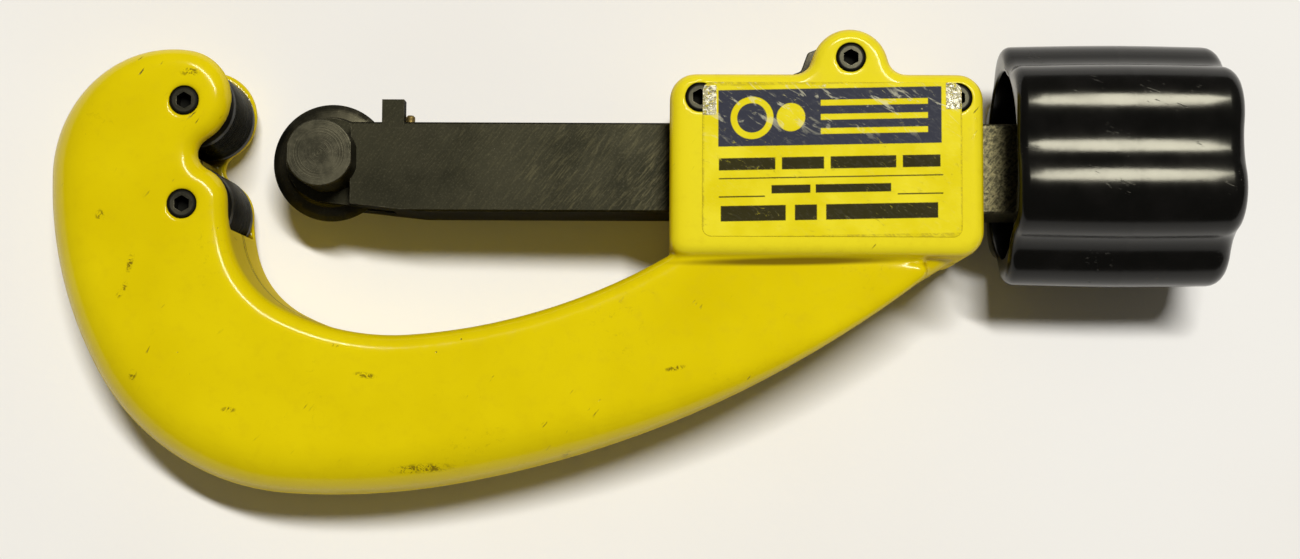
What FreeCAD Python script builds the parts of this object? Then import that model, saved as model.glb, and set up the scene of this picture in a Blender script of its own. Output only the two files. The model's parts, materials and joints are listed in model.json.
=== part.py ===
import FreeCAD, Part
import math
import os
import re
import Sketcher
from FreeCAD import Placement, Rotation, Vector

# Pipe cutter, in millimetres.
# The origin is midway between the two roller axes, in the plane that the cutter wheel turns in.
# +X runs along the feed axis from the rollers to the knob, +Y points from the bow of the frame
# to the slide bar, and +Z is the axis of the pipe. The tool lies on its side, with +Z up.

# ---------------------------------------------------------------- driving dimensions

SIZES = {
    # C-shaped frame: the radii of its tangent arcs, from the nose round the back to the tip
    # and the angle that each one turns through
    "frame_thickness": 26.0,
    "nose_heading": 171.8,
    "shoulder_radius": 19.7,
    "shoulder_turn": 97.9,
    "back_radius": 62.7,
    "back_turn": 29.5,
    "heel_radius": 37.4,
    "heel_turn": 57.5,
    "belly_radius": 110.5,
    "belly_turn": 13.5,
    "tail_radius": 169.4,
    "tail_turn": 27.2,
    "tip_radius": 1.6,
    "crest_radius": 3.6,
    # inner side of the C, from the lower roller round to the housing
    "lip_radius": 27.3,
    "lip_turn": 13.9,
    "bend_radius": 15.4,
    "bend_turn": 48.7,
    "floor_radius": 37.6,
    "floor_turn": 31.7,
    "rise_radius": 94.1,
    "rise_turn": 27.4,
    # nose with its two lobes, one round each roller pin
    "upper_lobe_x": -0.8,
    "upper_lobe_y": 8.9,
    "upper_lobe_radius": 7.6,
    "lower_lobe_x": 0.9,
    "lower_lobe_y": -7.5,
    "lower_lobe_radius": 5.7,
    "notch_radius": 2.6,
    # rounding of the frame's long edges
    "outer_edge_round": 8.0,
    "inner_edge_round": 3.0,
    "tip_edge_round": 1.4,
    # guide housing
    "housing_left": 75.7,
    "housing_right": 124.3,
    "housing_bottom": -16.0,
    "housing_top": 12.5,
    "housing_thickness": 29.0,
    "housing_corner": 4.0,
    "housing_foot_corner": 2.4,
    "housing_edge_round": 2.0,
    "web_thickness": 22.4,
    "web_edge_round": 2.5,
    "web_left": 86.0,
    "web_left_foot": -21.0,
    "web_bend_x": 111.5,
    "web_bend_y": -21.6,
    "web_right": 123.3,
    "web_right_foot": -14.3,
    "ear_x": 103.7,
    "ear_y": 13.6,
    "ear_radius": 6.0,
    "ear_base_radius": 2.8,
    # play between parts that turn or slide, and between parts that stay put
    "running_play": 0.05,
    "seat_play": 0.02,
    # how far a cutting shape passes beyond the surface that it cuts
    "overcut": 3.0,
    # socket pins
    "pin_radius": 2.15,
    "pin_recess": 0.1,
    "pin_chamfer": 0.25,
    "pin_socket_across": 2.2,
    "pin_socket_depth": 2.5,
    "lever_pin_y": 14.9,
    "guide_pin_left_x": 80.4,
    "guide_pin_right_x": 120.1,
    "guide_pin_y": 8.6,
    # rollers
    "roller_offset": 8.1,
    "roller_radius": 6.8,
    "roller_length": 18.0,
    "roller_chamfer": 0.9,
    "roller_slot_width": 18.3,
    "roller_slot_radius": 7.6,
    "needle_radius": 0.75,
    "needle_play": 0.025,
    "roller_needle_length": 16.0,
    # slide bar
    "bar_top": 5.7,
    "bar_bottom": -8.5,
    "bar_thickness": 14.0,
    "bar_end": 146.0,
    "bar_edge_chamfer": 0.3,
    "bar_play": 0.1,
    "tongue_radius": 6.8,
    "taper_start": 36.0,
    "step_x": 25.2,
    "tongue_front": 3.8,
    "slot_reach": 12.0,
    "stop_left": 30.1,
    "stop_right": 33.6,
    "stop_top": 9.3,
    "stop_width": 2.8,
    "buffer_x": 34.05,
    "buffer_z": 2.4,
    "buffer_radius": 0.75,
    "buffer_top": 7.4,
    "buffer_length": 5.4,
    "buffer_chamfer": 0.3,
    "sleeve_radius": 2.84,
    "sleeve_bore": 2.18,
    "sleeve_pocket_play": 0.25,
    "sleeve_pocket_width": 14.6,
    # cutter wheel and its axle
    "wheel_x": 21.2,
    "wheel_radius": 9.5,
    "wheel_hub_width": 3.0,
    "wheel_hub_radius": 6.8,
    "wheel_waist_width": 2.0,
    "wheel_waist_radius": 7.3,
    "wheel_bevel_width": 1.7,
    "wheel_bevel_radius": 8.4,
    "wheel_edge_width": 0.08,
    "wheel_slot_width": 3.4,
    "wheel_slot_end": 31.5,
    "axle_radius": 3.0,
    "axle_head_radius": 5.25,
    "axle_head_top": 12.8,
    "axle_head_across": 9.9,
    "axle_head_chamfer": 0.15,
    "axle_tail_chamfer": 0.3,
    "axle_tail": -8.3,
    "ring_groove_front": -7.05,
    "ring_thickness": 0.6,
    "ring_groove_radius": 2.4,
    "ring_outer_radius": 4.3,
    "ring_gap": 2.2,
    # spindle
    "spindle_start": 60.0,
    "thread_end": 124.0,
    "thread_relief_end": 125.5,
    "thread_depth": 1.1,
    "spindle_radius": 4.0,
    "spindle_bore_start": 58.0,
    "spindle_bore": 4.15,
    "spindle_groove_radius": 3.0,
    "retainer_x": 141.0,
    "retainer_y": -4.05,
    "retainer_radius": 1.0,
    "retainer_length": 13.4,
    "collar_radius": 6.0,
    "thrust_washer_radius": 6.4,
    "collar_left": 146.6,
    "collar_right": 149.4,
    "drive_square": 7.0,
    "spindle_end": 159.6,
    "screw_hole_depth": 10.5,
    # half-nut lever
    "lever_thickness": 5.0,
    "lever_slot_width": 5.6,
    "lever_slot_end": 117.2,
    "lever_pad_play": 0.7,
    "nut_side_play": 0.6,
    "lever_hub_radius": 5.0,
    "lever_pad_left": 84.5,
    "lever_pad_top": 14.2,
    "lever_pad_bottom": 11.3,
    "lever_edge_round": 0.8,
    "thumb_groove_start": 1.6,
    "thumb_groove_pitch": 1.7,
    "thumb_groove_width": 0.7,
    "thumb_groove_depth": 0.35,
    "nut_left": 109.2,
    "nut_right": 115.0,
    "nut_saddle_radius": 4.05,
    "nut_window_reach": 41.5,
    "nut_window_ahead": 7.5,
    "nut_window_width": 6.0,
    "spring_x": 88.5,
    "spring_seat": 7.2,
    "spring_coil_radius": 1.7,
    "spring_wire_radius": 0.3,
    "spring_pitch": 0.95,
    # knob
    "knob_left": 129.1,
    "knob_right": 164.2,
    "knob_radius": 19.7,
    "knob_valley_radius": 16.9,
    "knob_lobe_round": 7.8,
    "knob_first_lobe": 55.0,
    "knob_bore_radius": 15.0,
    "knob_floor": 149.6,
    "knob_left_round": 1.5,
    "knob_right_round": 2.5,
    "screw_head_radius": 4.25,
    "screw_radius": 2.5,
    "screw_recess_radius": 6.2,
    "screw_recess_floor": 160.2,
    "screw_tip": 150.1,
    "screw_tip_chamfer": 0.5,
    "screw_head_chamfer": 0.4,
    "screw_head_set_back": 0.3,
    "knob_washer_thickness": 1.0,
    "knob_washer_play": 0.2,
    "screw_socket_across": 4.0,
    "screw_socket_depth": 2.0,
    # label
    "label_left": 80.8,
    "label_right": 120.7,
    "label_bottom": -13.0,
    "label_top": 10.9,
    "label_corner": 1.4,
    "label_thickness": 0.12,
}
ROLLER_NEEDLES = 11
WHEEL_NEEDLES = 14
KNOB_LOBES = 6
THUMB_GROOVES = 5

doc = FreeCAD.newDocument("pipe_cutter")
sheet = doc.addObject("Spreadsheet::Sheet", "size")
for row, (alias, number) in enumerate(SIZES.items(), 1):
    sheet.set("A%d" % row, alias)
    sheet.set("B%d" % row, str(number))
    sheet.setAlias("B%d" % row, alias)
doc.recompute()


def linked(expression):
    """The expression with the sheet's name put before each alias."""
    return re.sub(r"[a-z_]+", lambda m: "size." + m[0] if m[0] in SIZES else m[0], expression)


def value(expression):
    """The number that an expression in the sheet's aliases comes to."""
    return float(sheet.evalExpression(linked(expression)))


def bind(thing, name, expression):
    thing.setExpression(name, linked(expression))


# ---------------------------------------------------------------- sketches

def draw_point(sketch, line, end, x, y):
    """Ties one end of a line, or the centre of a circle, to two expressions."""
    for kind, axis, expression in (("DistanceX", -2, x), ("DistanceY", -1, y)):
        distance = value(expression)
        if abs(distance) < 1e-9:
            sketch.addConstraint(Sketcher.Constraint("PointOnObject", line, end, axis))
        else:
            index = sketch.addConstraint(Sketcher.Constraint(kind, -1, 1, line, end, distance))
            bind(sketch, "Constraints[%d]" % index, expression)


def draw_polygon(sketch, points):
    """A closed polygon whose corners are pairs of expressions."""
    first = sketch.GeometryCount
    places = [Vector(value(x), value(y), 0) for x, y in points]
    count = len(points)
    for i in range(count):
        sketch.addGeometry(Part.LineSegment(places[i], places[(i + 1) % count]), False)
    for i in range(count):
        following = first + (i + 1) % count
        sketch.addConstraint(Sketcher.Constraint("Coincident", first + i, 2, following, 1))
    for i, (x, y) in enumerate(points):
        draw_point(sketch, first + i, 1, x, y)


def draw_rectangle(sketch, left, bottom, right, top):
    draw_polygon(sketch, [(left, bottom), (right, bottom), (right, top), (left, top)])


def draw_circle(sketch, x, y, radius):
    centre = Vector(value(x), value(y), 0)
    index = sketch.addGeometry(Part.Circle(centre, Vector(0, 0, 1), value(radius)), False)
    draw_point(sketch, index, 3, x, y)
    bound = sketch.addConstraint(Sketcher.Constraint("Radius", index, value(radius)))
    bind(sketch, "Constraints[%d]" % bound, radius)


def draw_hexagon(sketch, across):
    """A hexagon about the sketch's origin, from the width across its flats."""
    corners = []
    for k in range(6):
        turn = math.radians(60 * k + 30)
        reach = "%s / 2 / cos(30 deg)" % across
        corners.append(("%s * %.9f" % (reach, math.cos(turn)), "%s * %.9f" % (reach, math.sin(turn))))
    draw_polygon(sketch, corners)


def heading(degrees):
    turn = math.radians(degrees)
    return Vector(math.cos(turn), math.sin(turn), 0)


def bearing(start, end):
    return math.degrees(math.atan2(end.y - start.y, end.x - start.x))


class Outline:
    """A run of arcs and lines, drawn from a point and a heading. Left turns are positive."""

    def __init__(self, point, direction):
        self.point = point
        self.direction = direction
        self.pieces = []

    def arc(self, name, radius, turn):
        """An arc that leaves along the outline's present heading."""
        side = radius if turn > 0 else -radius
        centre = self.point + heading(self.direction + 90) * side
        middle = centre + heading(self.direction + turn / 2 - 90) * side
        end = centre + heading(self.direction + turn - 90) * side
        self.pieces.append((name, Part.Arc(self.point, middle, end), turn > 0))
        self.point = end
        self.direction += turn

    def line(self, name, end):
        self.direction = bearing(self.point, end)
        self.pieces.append((name, Part.LineSegment(self.point, end), True))
        self.point = end

    def draw(self, sketch, radii, joint="Tangent"):
        """Puts the closed outline in a sketch, with its joints tied and the named radii bound."""
        first = sketch.GeometryCount
        count = len(self.pieces)
        for name, curve, ahead in self.pieces:
            index = sketch.addGeometry(curve, False)
            if name in radii:
                bound = sketch.addConstraint(Sketcher.Constraint("Radius", index, value(radii[name])))
                bind(sketch, "Constraints[%d]" % bound, radii[name])
        for i in range(count):
            following = (i + 1) % count
            leaving = 2 if self.pieces[i][2] else 1
            entering = 1 if self.pieces[following][2] else 2
            sketch.addConstraint(Sketcher.Constraint(joint, first + i, leaving,
                                                     first + following, entering))


# ---------------------------------------------------------------- bodies and features

def new_body(label):
    body = doc.addObject("PartDesign::Body", label)
    body.Label = label
    return body


def new_sketch(body, plane, name, offset="0"):
    """A sketch on one of the body's own origin planes, moved along its normal by the offset."""
    sketch = body.newObject("Sketcher::SketchObject", name)
    support = next(f for f in body.Origin.OriginFeatures if f.Role == plane + "_Plane")
    sketch.AttachmentSupport = [(support, "")]
    sketch.MapMode = "FlatFace"
    bind(sketch, "AttachmentOffset.Base.z", offset)
    return sketch


def new_pad(body, sketch, length, both_ways=False, reverse=False):
    pad = body.newObject("PartDesign::Pad", sketch.Name + "_pad")
    pad.Profile = sketch
    bind(pad, "Length", length)
    pad.SideType = "Symmetric" if both_ways else "One side"
    pad.Reversed = reverse
    doc.recompute()
    return pad


def new_pocket(body, sketch, length, both_ways=False, reverse=False):
    before = body.Shape.Volume
    pocket = body.newObject("PartDesign::Pocket", sketch.Name + "_pocket")
    pocket.Profile = sketch
    bind(pocket, "Length", length)
    pocket.SideType = "Symmetric" if both_ways else "One side"
    pocket.Reversed = reverse
    doc.recompute()
    if body.Shape.Volume >= before:
        raise RuntimeError("%s cuts nothing" % pocket.Name)
    return pocket


def turned(label, points, axis="V"):
    """A body turned about the sketch's vertical or horizontal axis from (across, along) corners."""
    body = new_body(label)
    plane = "XZ" if axis == "V" else "XY"
    sketch = new_sketch(body, plane, label + "_profile")
    draw_polygon(sketch, points)
    turn = body.newObject("PartDesign::Revolution", label + "_turn")
    turn.Profile = sketch
    turn.ReferenceAxis = (sketch, [axis + "_Axis"])
    turn.Angle = 360
    doc.recompute()
    return body


def place(thing, x="0", y="0", z="0", rotation=None):
    if rotation:
        thing.Placement = Placement(Vector(0, 0, 0), rotation)
    for letter, expression in (("x", x), ("y", y), ("z", z)):
        bind(thing, "Placement.Base." + letter, expression)


def chosen_edges(shape, test):
    """The names of the edges whose middle point passes the test."""
    names = []
    for index, edge in enumerate(shape.Edges, 1):
        middle = edge.valueAt((edge.FirstParameter + edge.LastParameter) / 2)
        if test(edge, middle):
            names.append("Edge%d" % index)
    return names


def dress(body, kind, size_name, expression, test):
    """A chamfer or a fillet on the edges of a body's last feature that pass the test."""
    base = body.Tip
    names = chosen_edges(base.Shape, test)
    feature = body.newObject("PartDesign::" + kind, "%s_%s" % (base.Name, kind.lower()))
    feature.Base = (base, names)
    bind(feature, size_name, expression)
    doc.recompute()
    return feature


# ---------------------------------------------------------------- frame casting

def notch_centre(upper, upper_radius, lower, lower_radius, notch_radius):
    """Centre of the circle that touches both lobes from the open side of the nose."""
    across = lower - upper
    gap = across.Length
    reach = upper_radius + notch_radius
    along = (reach ** 2 - (lower_radius + notch_radius) ** 2 + gap ** 2) / (2 * gap)
    offset = math.sqrt(reach ** 2 - along ** 2)
    unit = across * (1 / gap)
    return upper + unit * along + Vector(-unit.y, unit.x, 0) * offset


def frame_outline():
    """The C, counter-clockwise from the top of the nose. The turns close the run of arcs."""
    upper = Vector(value("upper_lobe_x"), value("upper_lobe_y"), 0)
    lower = Vector(value("lower_lobe_x"), value("lower_lobe_y"), 0)
    upper_radius = value("upper_lobe_radius")
    lower_radius = value("lower_lobe_radius")
    notch_radius = value("notch_radius")
    notch = notch_centre(upper, upper_radius, lower, lower_radius, notch_radius)

    start_direction = value("nose_heading")
    start = upper + heading(start_direction - 90) * upper_radius
    outline = Outline(start, start_direction)
    for name in ("shoulder", "back", "heel", "belly", "tail"):
        outline.arc(name, value(name + "_radius"), value(name + "_turn"))

    # the inner side, drawn first from the lower lobe outwards to find where it ends
    lip_start = lower + Vector(lower_radius, 0, 0)
    inner_names = ("lip", "bend", "floor", "rise")
    inner = Outline(lip_start, 270)
    for name in inner_names:
        inner.arc(name, value(name + "_radius"), value(name + "_turn"))

    # tip and crest are two circles joined by the straight ledge under the housing
    tip_radius = value("tip_radius")
    crest_radius = value("crest_radius")
    back_direction = inner.direction - 180
    tip_centre = outline.point + heading(outline.direction + 90) * tip_radius
    crest_centre = inner.point + heading(back_direction + 90) * crest_radius
    apart = crest_centre - tip_centre
    lean = math.degrees(math.asin((tip_radius - crest_radius) / apart.Length))
    ledge_direction = (bearing(tip_centre, crest_centre) + lean) % 360
    outline.arc("tip", tip_radius, (ledge_direction - outline.direction) % 360)
    outline.line("ledge", crest_centre + heading(ledge_direction - 90) * crest_radius)
    outline.arc("crest", crest_radius, (back_direction - outline.direction) % 360)
    for name in reversed(inner_names):
        outline.arc(name, value(name + "_radius"), -value(name + "_turn"))

    to_notch = bearing(lower, notch)
    outline.arc("lower_lobe", lower_radius, to_notch % 360)
    leave_notch = bearing(upper, notch) + 90
    outline.arc("notch", notch_radius, -((outline.direction - leave_notch) % 360))
    outline.arc("upper_lobe", upper_radius, (start_direction - outline.direction) % 360)
    return outline


def extruded(name, draw, depth):
    """A solid of the given depth, centred on the cutting plane, from a free-standing sketch."""
    sketch = doc.addObject("Sketcher::SketchObject", name + "_sketch")
    draw(sketch)
    doc.recompute()
    solid = doc.addObject("Part::Extrusion", name)
    solid.Base = sketch
    solid.DirMode = "Custom"
    solid.Dir = Vector(0, 0, 1)
    solid.Solid = True
    solid.Symmetric = True
    bind(solid, "LengthFwd", depth)
    doc.recompute()
    return solid


def rounded(name, base, edges):
    """A Part fillet, from (edge number, radius at its start, radius at its end)."""
    fillet = doc.addObject("Part::Fillet", name)
    fillet.Base = base
    fillet.Edges = edges
    doc.recompute()
    return fillet


def flat_edge(edge):
    return edge.BoundBox.ZLength < 1e-4


def rounded_frame():
    """The C with its outer side well rounded, its inner side less, and its tip least."""
    outline = frame_outline()
    radii = {name: name + "_radius" for name, curve, ahead in outline.pieces if name != "ledge"}
    blank = extruded("frame_blank", lambda sketch: outline.draw(sketch, radii), "frame_thickness")
    outer = value("outer_edge_round")
    inner = value("inner_edge_round")
    tip = value("tip_edge_round")
    special = {"shoulder": (inner, outer), "back": (outer, outer), "heel": (outer, outer),
               "belly": (outer, outer), "tail": (outer, tip), "tip": (tip, tip),
               "ledge": (tip, tip), "crest": (tip, inner)}
    edges = []
    for number, edge in enumerate(blank.Shape.Edges, 1):
        if not flat_edge(edge):
            continue
        middle = edge.valueAt((edge.FirstParameter + edge.LastParameter) / 2)
        middle.z = 0
        start = edge.valueAt(edge.FirstParameter)
        start.z = 0
        for name, curve, ahead in outline.pieces:
            centre = curve.value((curve.FirstParameter + curve.LastParameter) / 2)
            if centre.distanceToPoint(middle) > 0.05:
                continue
            first, last = special.get(name, (inner, inner))
            same_way = start.distanceToPoint(curve.StartPoint) < start.distanceToPoint(curve.EndPoint)
            edges.append((number, first, last) if same_way else (number, last, first))
    return rounded("frame_rounded", blank, edges)


def housing_outline():
    """The housing's face, counter-clockwise from the foot of its left side, with the ear on top."""
    left = value("housing_left")
    right = value("housing_right")
    bottom = value("housing_bottom")
    top = value("housing_top")
    corner = value("housing_corner")
    foot = value("housing_foot_corner")
    ear = Vector(value("ear_x"), value("ear_y"), 0)
    ear_radius = value("ear_radius")
    base_radius = value("ear_base_radius")
    rise = top + base_radius - ear.y
    reach = math.sqrt((ear_radius + base_radius) ** 2 - rise ** 2)
    lean = math.degrees(math.atan2(rise, reach))

    outline = Outline(Vector(left + foot, bottom, 0), 0)
    outline.line("bottom", Vector(right - corner, bottom, 0))
    outline.arc("right_foot", corner, 90)
    outline.line("right", Vector(right, top - corner, 0))
    outline.arc("right_shoulder", corner, 90)
    outline.line("top_right", Vector(ear.x + reach, top, 0))
    outline.arc("ear_right", base_radius, lean - 90)
    outline.arc("ear", ear_radius, 180 - 2 * lean)
    outline.arc("ear_left", base_radius, lean - 90)
    outline.line("top_left", Vector(left + corner, top, 0))
    outline.arc("left_shoulder", corner, 90)
    outline.line("left", Vector(left, bottom + foot, 0))
    outline.arc("left_foot", foot, 90)
    return outline


def rounded_housing():
    outline = housing_outline()
    radii = {"ear": "ear_radius", "right_foot": "housing_corner", "left_foot": "housing_foot_corner"}
    blank = extruded("housing_blank", lambda sketch: outline.draw(sketch, radii), "housing_thickness")
    edge_round = value("housing_edge_round")
    edges = [(number, edge_round, edge_round)
             for number, edge in enumerate(blank.Shape.Edges, 1) if flat_edge(edge)]
    return rounded("housing_rounded", blank, edges)


def rounded_web():
    """The thinner web that carries the tip of the C into the housing's lower right corner."""
    points = [("web_left", "housing_bottom + overcut"), ("web_left", "web_left_foot"),
              ("web_bend_x", "web_bend_y"), ("web_right", "web_right_foot"),
              ("web_right", "housing_bottom + overcut")]
    blank = extruded("web_blank", lambda sketch: draw_polygon(sketch, points), "web_thickness")
    edge_round = value("web_edge_round")
    slope = [(number, edge_round, edge_round) for number, edge in enumerate(blank.Shape.Edges, 1)
             if flat_edge(edge) and edge.BoundBox.YLength > 5 and edge.BoundBox.XLength > 5]
    return rounded("web_rounded", blank, slope)


def cutting_box(name, left, bottom, right, top, depth):
    box = doc.addObject("Part::Box", name)
    bind(box, "Length", "(%s) - (%s)" % (right, left))
    bind(box, "Width", "(%s) - (%s)" % (top, bottom))
    bind(box, "Height", depth)
    place(box, left, bottom, "-(%s) / 2" % depth)
    return box


def cutting_rod(name, x, y, radius, depth):
    rod = doc.addObject("Part::Cylinder", name)
    bind(rod, "Radius", radius)
    bind(rod, "Height", depth)
    place(rod, x, y, "-(%s) / 2" % depth)
    return rod


def frame_casting():
    """One aluminium casting: the C, the housing, the ear and the web, less its slots and holes."""
    solid = doc.addObject("Part::MultiFuse", "casting_solid")
    solid.Shapes = [rounded_frame(), rounded_housing(), rounded_web()]
    doc.recompute()

    cutters = []
    for name, sign in (("upper", ""), ("lower", "-")):
        y = sign + "roller_offset"
        cutters.append(cutting_rod(name + "_roller_slot", "0", y, "roller_slot_radius",
                                   "roller_slot_width"))
        cutters.append(cutting_rod(name + "_roller_pin_hole", "0", y, "pin_radius + seat_play",
                                   "frame_thickness + overcut"))
    cutters.append(cutting_box("roller_slot_mouth", "0", "-roller_offset", "roller_slot_radius + overcut",
                               "roller_offset", "roller_slot_width"))
    cutters.append(cutting_box("roller_slot_brow", "0", "roller_offset", "roller_slot_radius + overcut",
                               "roller_offset + roller_slot_radius + overcut", "roller_slot_width"))
    cutters.append(cutting_box("bar_channel", "housing_left - overcut", "bar_bottom - bar_play",
                               "housing_right + overcut", "bar_top + bar_play",
                               "bar_thickness + 2 * bar_play"))
    cutters.append(cutting_box("lever_slot", "lever_pad_left - lever_pad_play", "spring_seat",
                               "lever_slot_end", "ear_y + ear_radius + overcut", "lever_slot_width"))
    cutters.append(cutting_box("nut_window", "nut_left - nut_side_play", "bar_top - overcut",
                               "lever_slot_end", "spring_seat + overcut", "lever_slot_width"))
    for name in ("guide_pin_left", "guide_pin_right"):
        cutters.append(cutting_rod(name + "_hole", name + "_x", "guide_pin_y", "pin_radius + seat_play",
                                   "housing_thickness + overcut"))
        cutters.append(cutting_rod(name + "_sleeve_pocket", name + "_x", "guide_pin_y",
                                   "sleeve_radius + sleeve_pocket_play", "sleeve_pocket_width"))
    cutters.append(cutting_rod("lever_pin_hole", "ear_x", "lever_pin_y", "pin_radius + seat_play",
                               "housing_thickness + overcut"))
    tools = doc.addObject("Part::MultiFuse", "casting_cutters")
    tools.Shapes = cutters
    doc.recompute()
    casting = doc.addObject("Part::Cut", "frame_casting")
    casting.Base = solid
    casting.Tool = tools
    doc.recompute()
    return casting


def label():
    """A thin clear sticker on the housing's front face."""
    left = value("label_left")
    right = value("label_right")
    bottom = value("label_bottom")
    top = value("label_top")
    corner = value("label_corner")
    outline = Outline(Vector(left + corner, bottom, 0), 0)
    outline.line("bottom", Vector(right - corner, bottom, 0))
    outline.arc("corner", corner, 90)
    outline.line("right", Vector(right, top - corner, 0))
    outline.arc("corner", corner, 90)
    outline.line("top", Vector(left + corner, top, 0))
    outline.arc("corner", corner, 90)
    outline.line("left", Vector(left, bottom + corner, 0))
    outline.arc("corner", corner, 90)
    sheet_of_film = extruded("label", lambda sketch: outline.draw(sketch, {"corner": "label_corner"}),
                             "label_thickness")
    place(sheet_of_film, "0", "0", "housing_thickness / 2 + label_thickness / 2")
    return sheet_of_film


# ---------------------------------------------------------------- pins, rollers and bearings

def socket_pin(name, x, y, width):
    """A ground pin through both cheeks, with a hexagon socket in its front end."""
    body = new_body(name)
    length = "%s - 2 * pin_recess" % width
    rod = new_sketch(body, "XY", name + "_circle")
    draw_circle(rod, "0", "0", "pin_radius")
    new_pad(body, rod, length, both_ways=True)
    dress(body, "Chamfer", "Size", "pin_chamfer", lambda edge, middle: flat_edge(edge))
    socket = new_sketch(body, "XY", name + "_socket", "(%s) / 2" % length)
    draw_hexagon(socket, "pin_socket_across")
    new_pocket(body, socket, "pin_socket_depth")
    place(body, x, y)
    return body


def roller(name, y):
    """A hardened sleeve that turns on needles about its pin."""
    bore = "pin_radius + 2 * needle_radius + 2 * needle_play"
    half = "roller_length / 2"
    edge = "roller_radius - roller_chamfer"
    body = turned(name, [(bore, "-" + half), (edge, "-" + half),
                         ("roller_radius", "-%s + roller_chamfer" % half),
                         ("roller_radius", half + " - roller_chamfer"), (edge, half), (bore, half)])
    place(body, "0", y)
    return body


def needle_ring(name, shaft_radius, count, length, x, y):
    """A full ring of loose needles round a shaft, each a solid of its own."""
    pitch = value("%s + needle_radius + needle_play" % shaft_radius)
    needles = []
    for k in range(count):
        needle = doc.addObject("Part::Cylinder", "%s_%d" % (name, k + 1))
        bind(needle, "Radius", "needle_radius")
        bind(needle, "Height", length)
        spot = heading(360 * k / count) * pitch
        needle.Placement.Base = Vector(spot.x, spot.y, -value(length) / 2)
        needles.append(needle)
    ring = doc.addObject("Part::Compound", name)
    ring.Links = needles
    place(ring, x, y)
    return ring


def guide_sleeve(name, x):
    """A steel sleeve on a guide pin, which the top of the slide bar runs against."""
    half = "bar_thickness / 2"
    body = turned(name, [("sleeve_bore", "-" + half), ("sleeve_radius", "-" + half),
                         ("sleeve_radius", half), ("sleeve_bore", half)])
    place(body, x, "guide_pin_y")
    return body


# ---------------------------------------------------------------- slide bar and cutter wheel

def slide_bar_outline():
    """The bar's face: a round tongue about the wheel axle, a short taper and a long straight."""
    tongue = value("tongue_radius")
    axle = Vector(value("wheel_x"), 0, 0)
    top = value("bar_top")
    end = value("bar_end")
    heel = Vector(value("taper_start"), value("bar_bottom"), 0)
    rise = math.degrees(math.asin(top / tongue))
    # the taper leaves the tongue along the tangent that runs to the heel
    touch = bearing(axle, heel) - math.degrees(math.acos(tongue / axle.distanceToPoint(heel)))
    start = axle + heading(rise) * tongue
    outline = Outline(start, rise + 90)
    outline.arc("tongue", tongue, touch % 360 - rise)
    outline.line("taper", heel)
    outline.line("underside", Vector(end, heel.y, 0))
    outline.line("end", Vector(end, top, 0))
    outline.line("top", start)
    return outline


def slide_bar():
    """The black bar: wheel fork at the left, spindle bore at the right, stop lug on top."""
    body = new_body("slide_bar")
    face = new_sketch(body, "XY", "bar_face")
    slide_bar_outline().draw(face, {"tongue": "tongue_radius"}, joint="Coincident")
    new_pad(body, face, "bar_thickness", both_ways=True)
    surface = value("bar_thickness / 2")
    long_run = value("(bar_end - bar_edge_chamfer - taper_start) / 2")
    dress(body, "Chamfer", "Size", "bar_edge_chamfer",
          lambda edge, middle: edge.BoundBox.XLength > long_run and abs(abs(middle.z) - surface) < 0.1)

    lug = new_sketch(body, "XY", "stop_lug", "bar_thickness / 2 - stop_width")
    draw_rectangle(lug, "stop_left", "bar_top - overcut", "stop_right", "stop_top")
    new_pad(body, lug, "stop_width")

    step = new_sketch(body, "XY", "front_step", "tongue_front")
    draw_rectangle(step, "wheel_x - slot_reach", "-slot_reach", "step_x", "slot_reach")
    new_pocket(body, step, "bar_thickness", reverse=True)

    slot = new_sketch(body, "XY", "wheel_slot")
    draw_rectangle(slot, "wheel_x - slot_reach", "-slot_reach", "wheel_slot_end", "slot_reach")
    new_pocket(body, slot, "wheel_slot_width", both_ways=True)

    hole = new_sketch(body, "XY", "axle_hole")
    draw_circle(hole, "wheel_x", "0", "axle_radius + running_play")
    new_pocket(body, hole, "bar_thickness + overcut", both_ways=True)

    bore = new_sketch(body, "YZ", "spindle_bore_circle", "spindle_bore_start")
    draw_circle(bore, "0", "0", "spindle_bore")
    new_pocket(body, bore, "bar_end - spindle_bore_start + overcut", reverse=True)

    window = new_sketch(body, "XZ", "nut_window_slot")
    draw_rectangle(window, "nut_left - nut_window_reach", "-nut_window_width / 2",
                   "nut_right + nut_window_ahead", "nut_window_width / 2")
    new_pocket(body, window, "bar_top + overcut")

    retainer = new_sketch(body, "XY", "retainer_hole")
    draw_circle(retainer, "retainer_x", "retainer_y", "retainer_radius + seat_play / 2")
    new_pocket(body, retainer, "bar_thickness + overcut", both_ways=True)

    buffer_hole = new_sketch(body, "XZ", "buffer_hole", "-bar_top - overcut")
    draw_circle(buffer_hole, "buffer_x", "buffer_z", "buffer_radius + seat_play / 2")
    new_pocket(body, buffer_hole, "bar_top + overcut - (buffer_top - buffer_length) + bar_play", reverse=True)
    place(body)
    return body


def buffer_pin():
    """A brass pin in the bar's top, which meets the housing before the steel lug would."""
    body = turned("buffer_pin", [("0", "0"), ("buffer_radius", "0"),
                                 ("buffer_radius", "buffer_length - buffer_chamfer"),
                                 ("buffer_radius - buffer_chamfer", "buffer_length"),
                                 ("0", "buffer_length")])
    place(body, "buffer_x", "buffer_top - buffer_length", "buffer_z",
          Rotation(Vector(1, 0, 0), -90))
    return body


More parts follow.
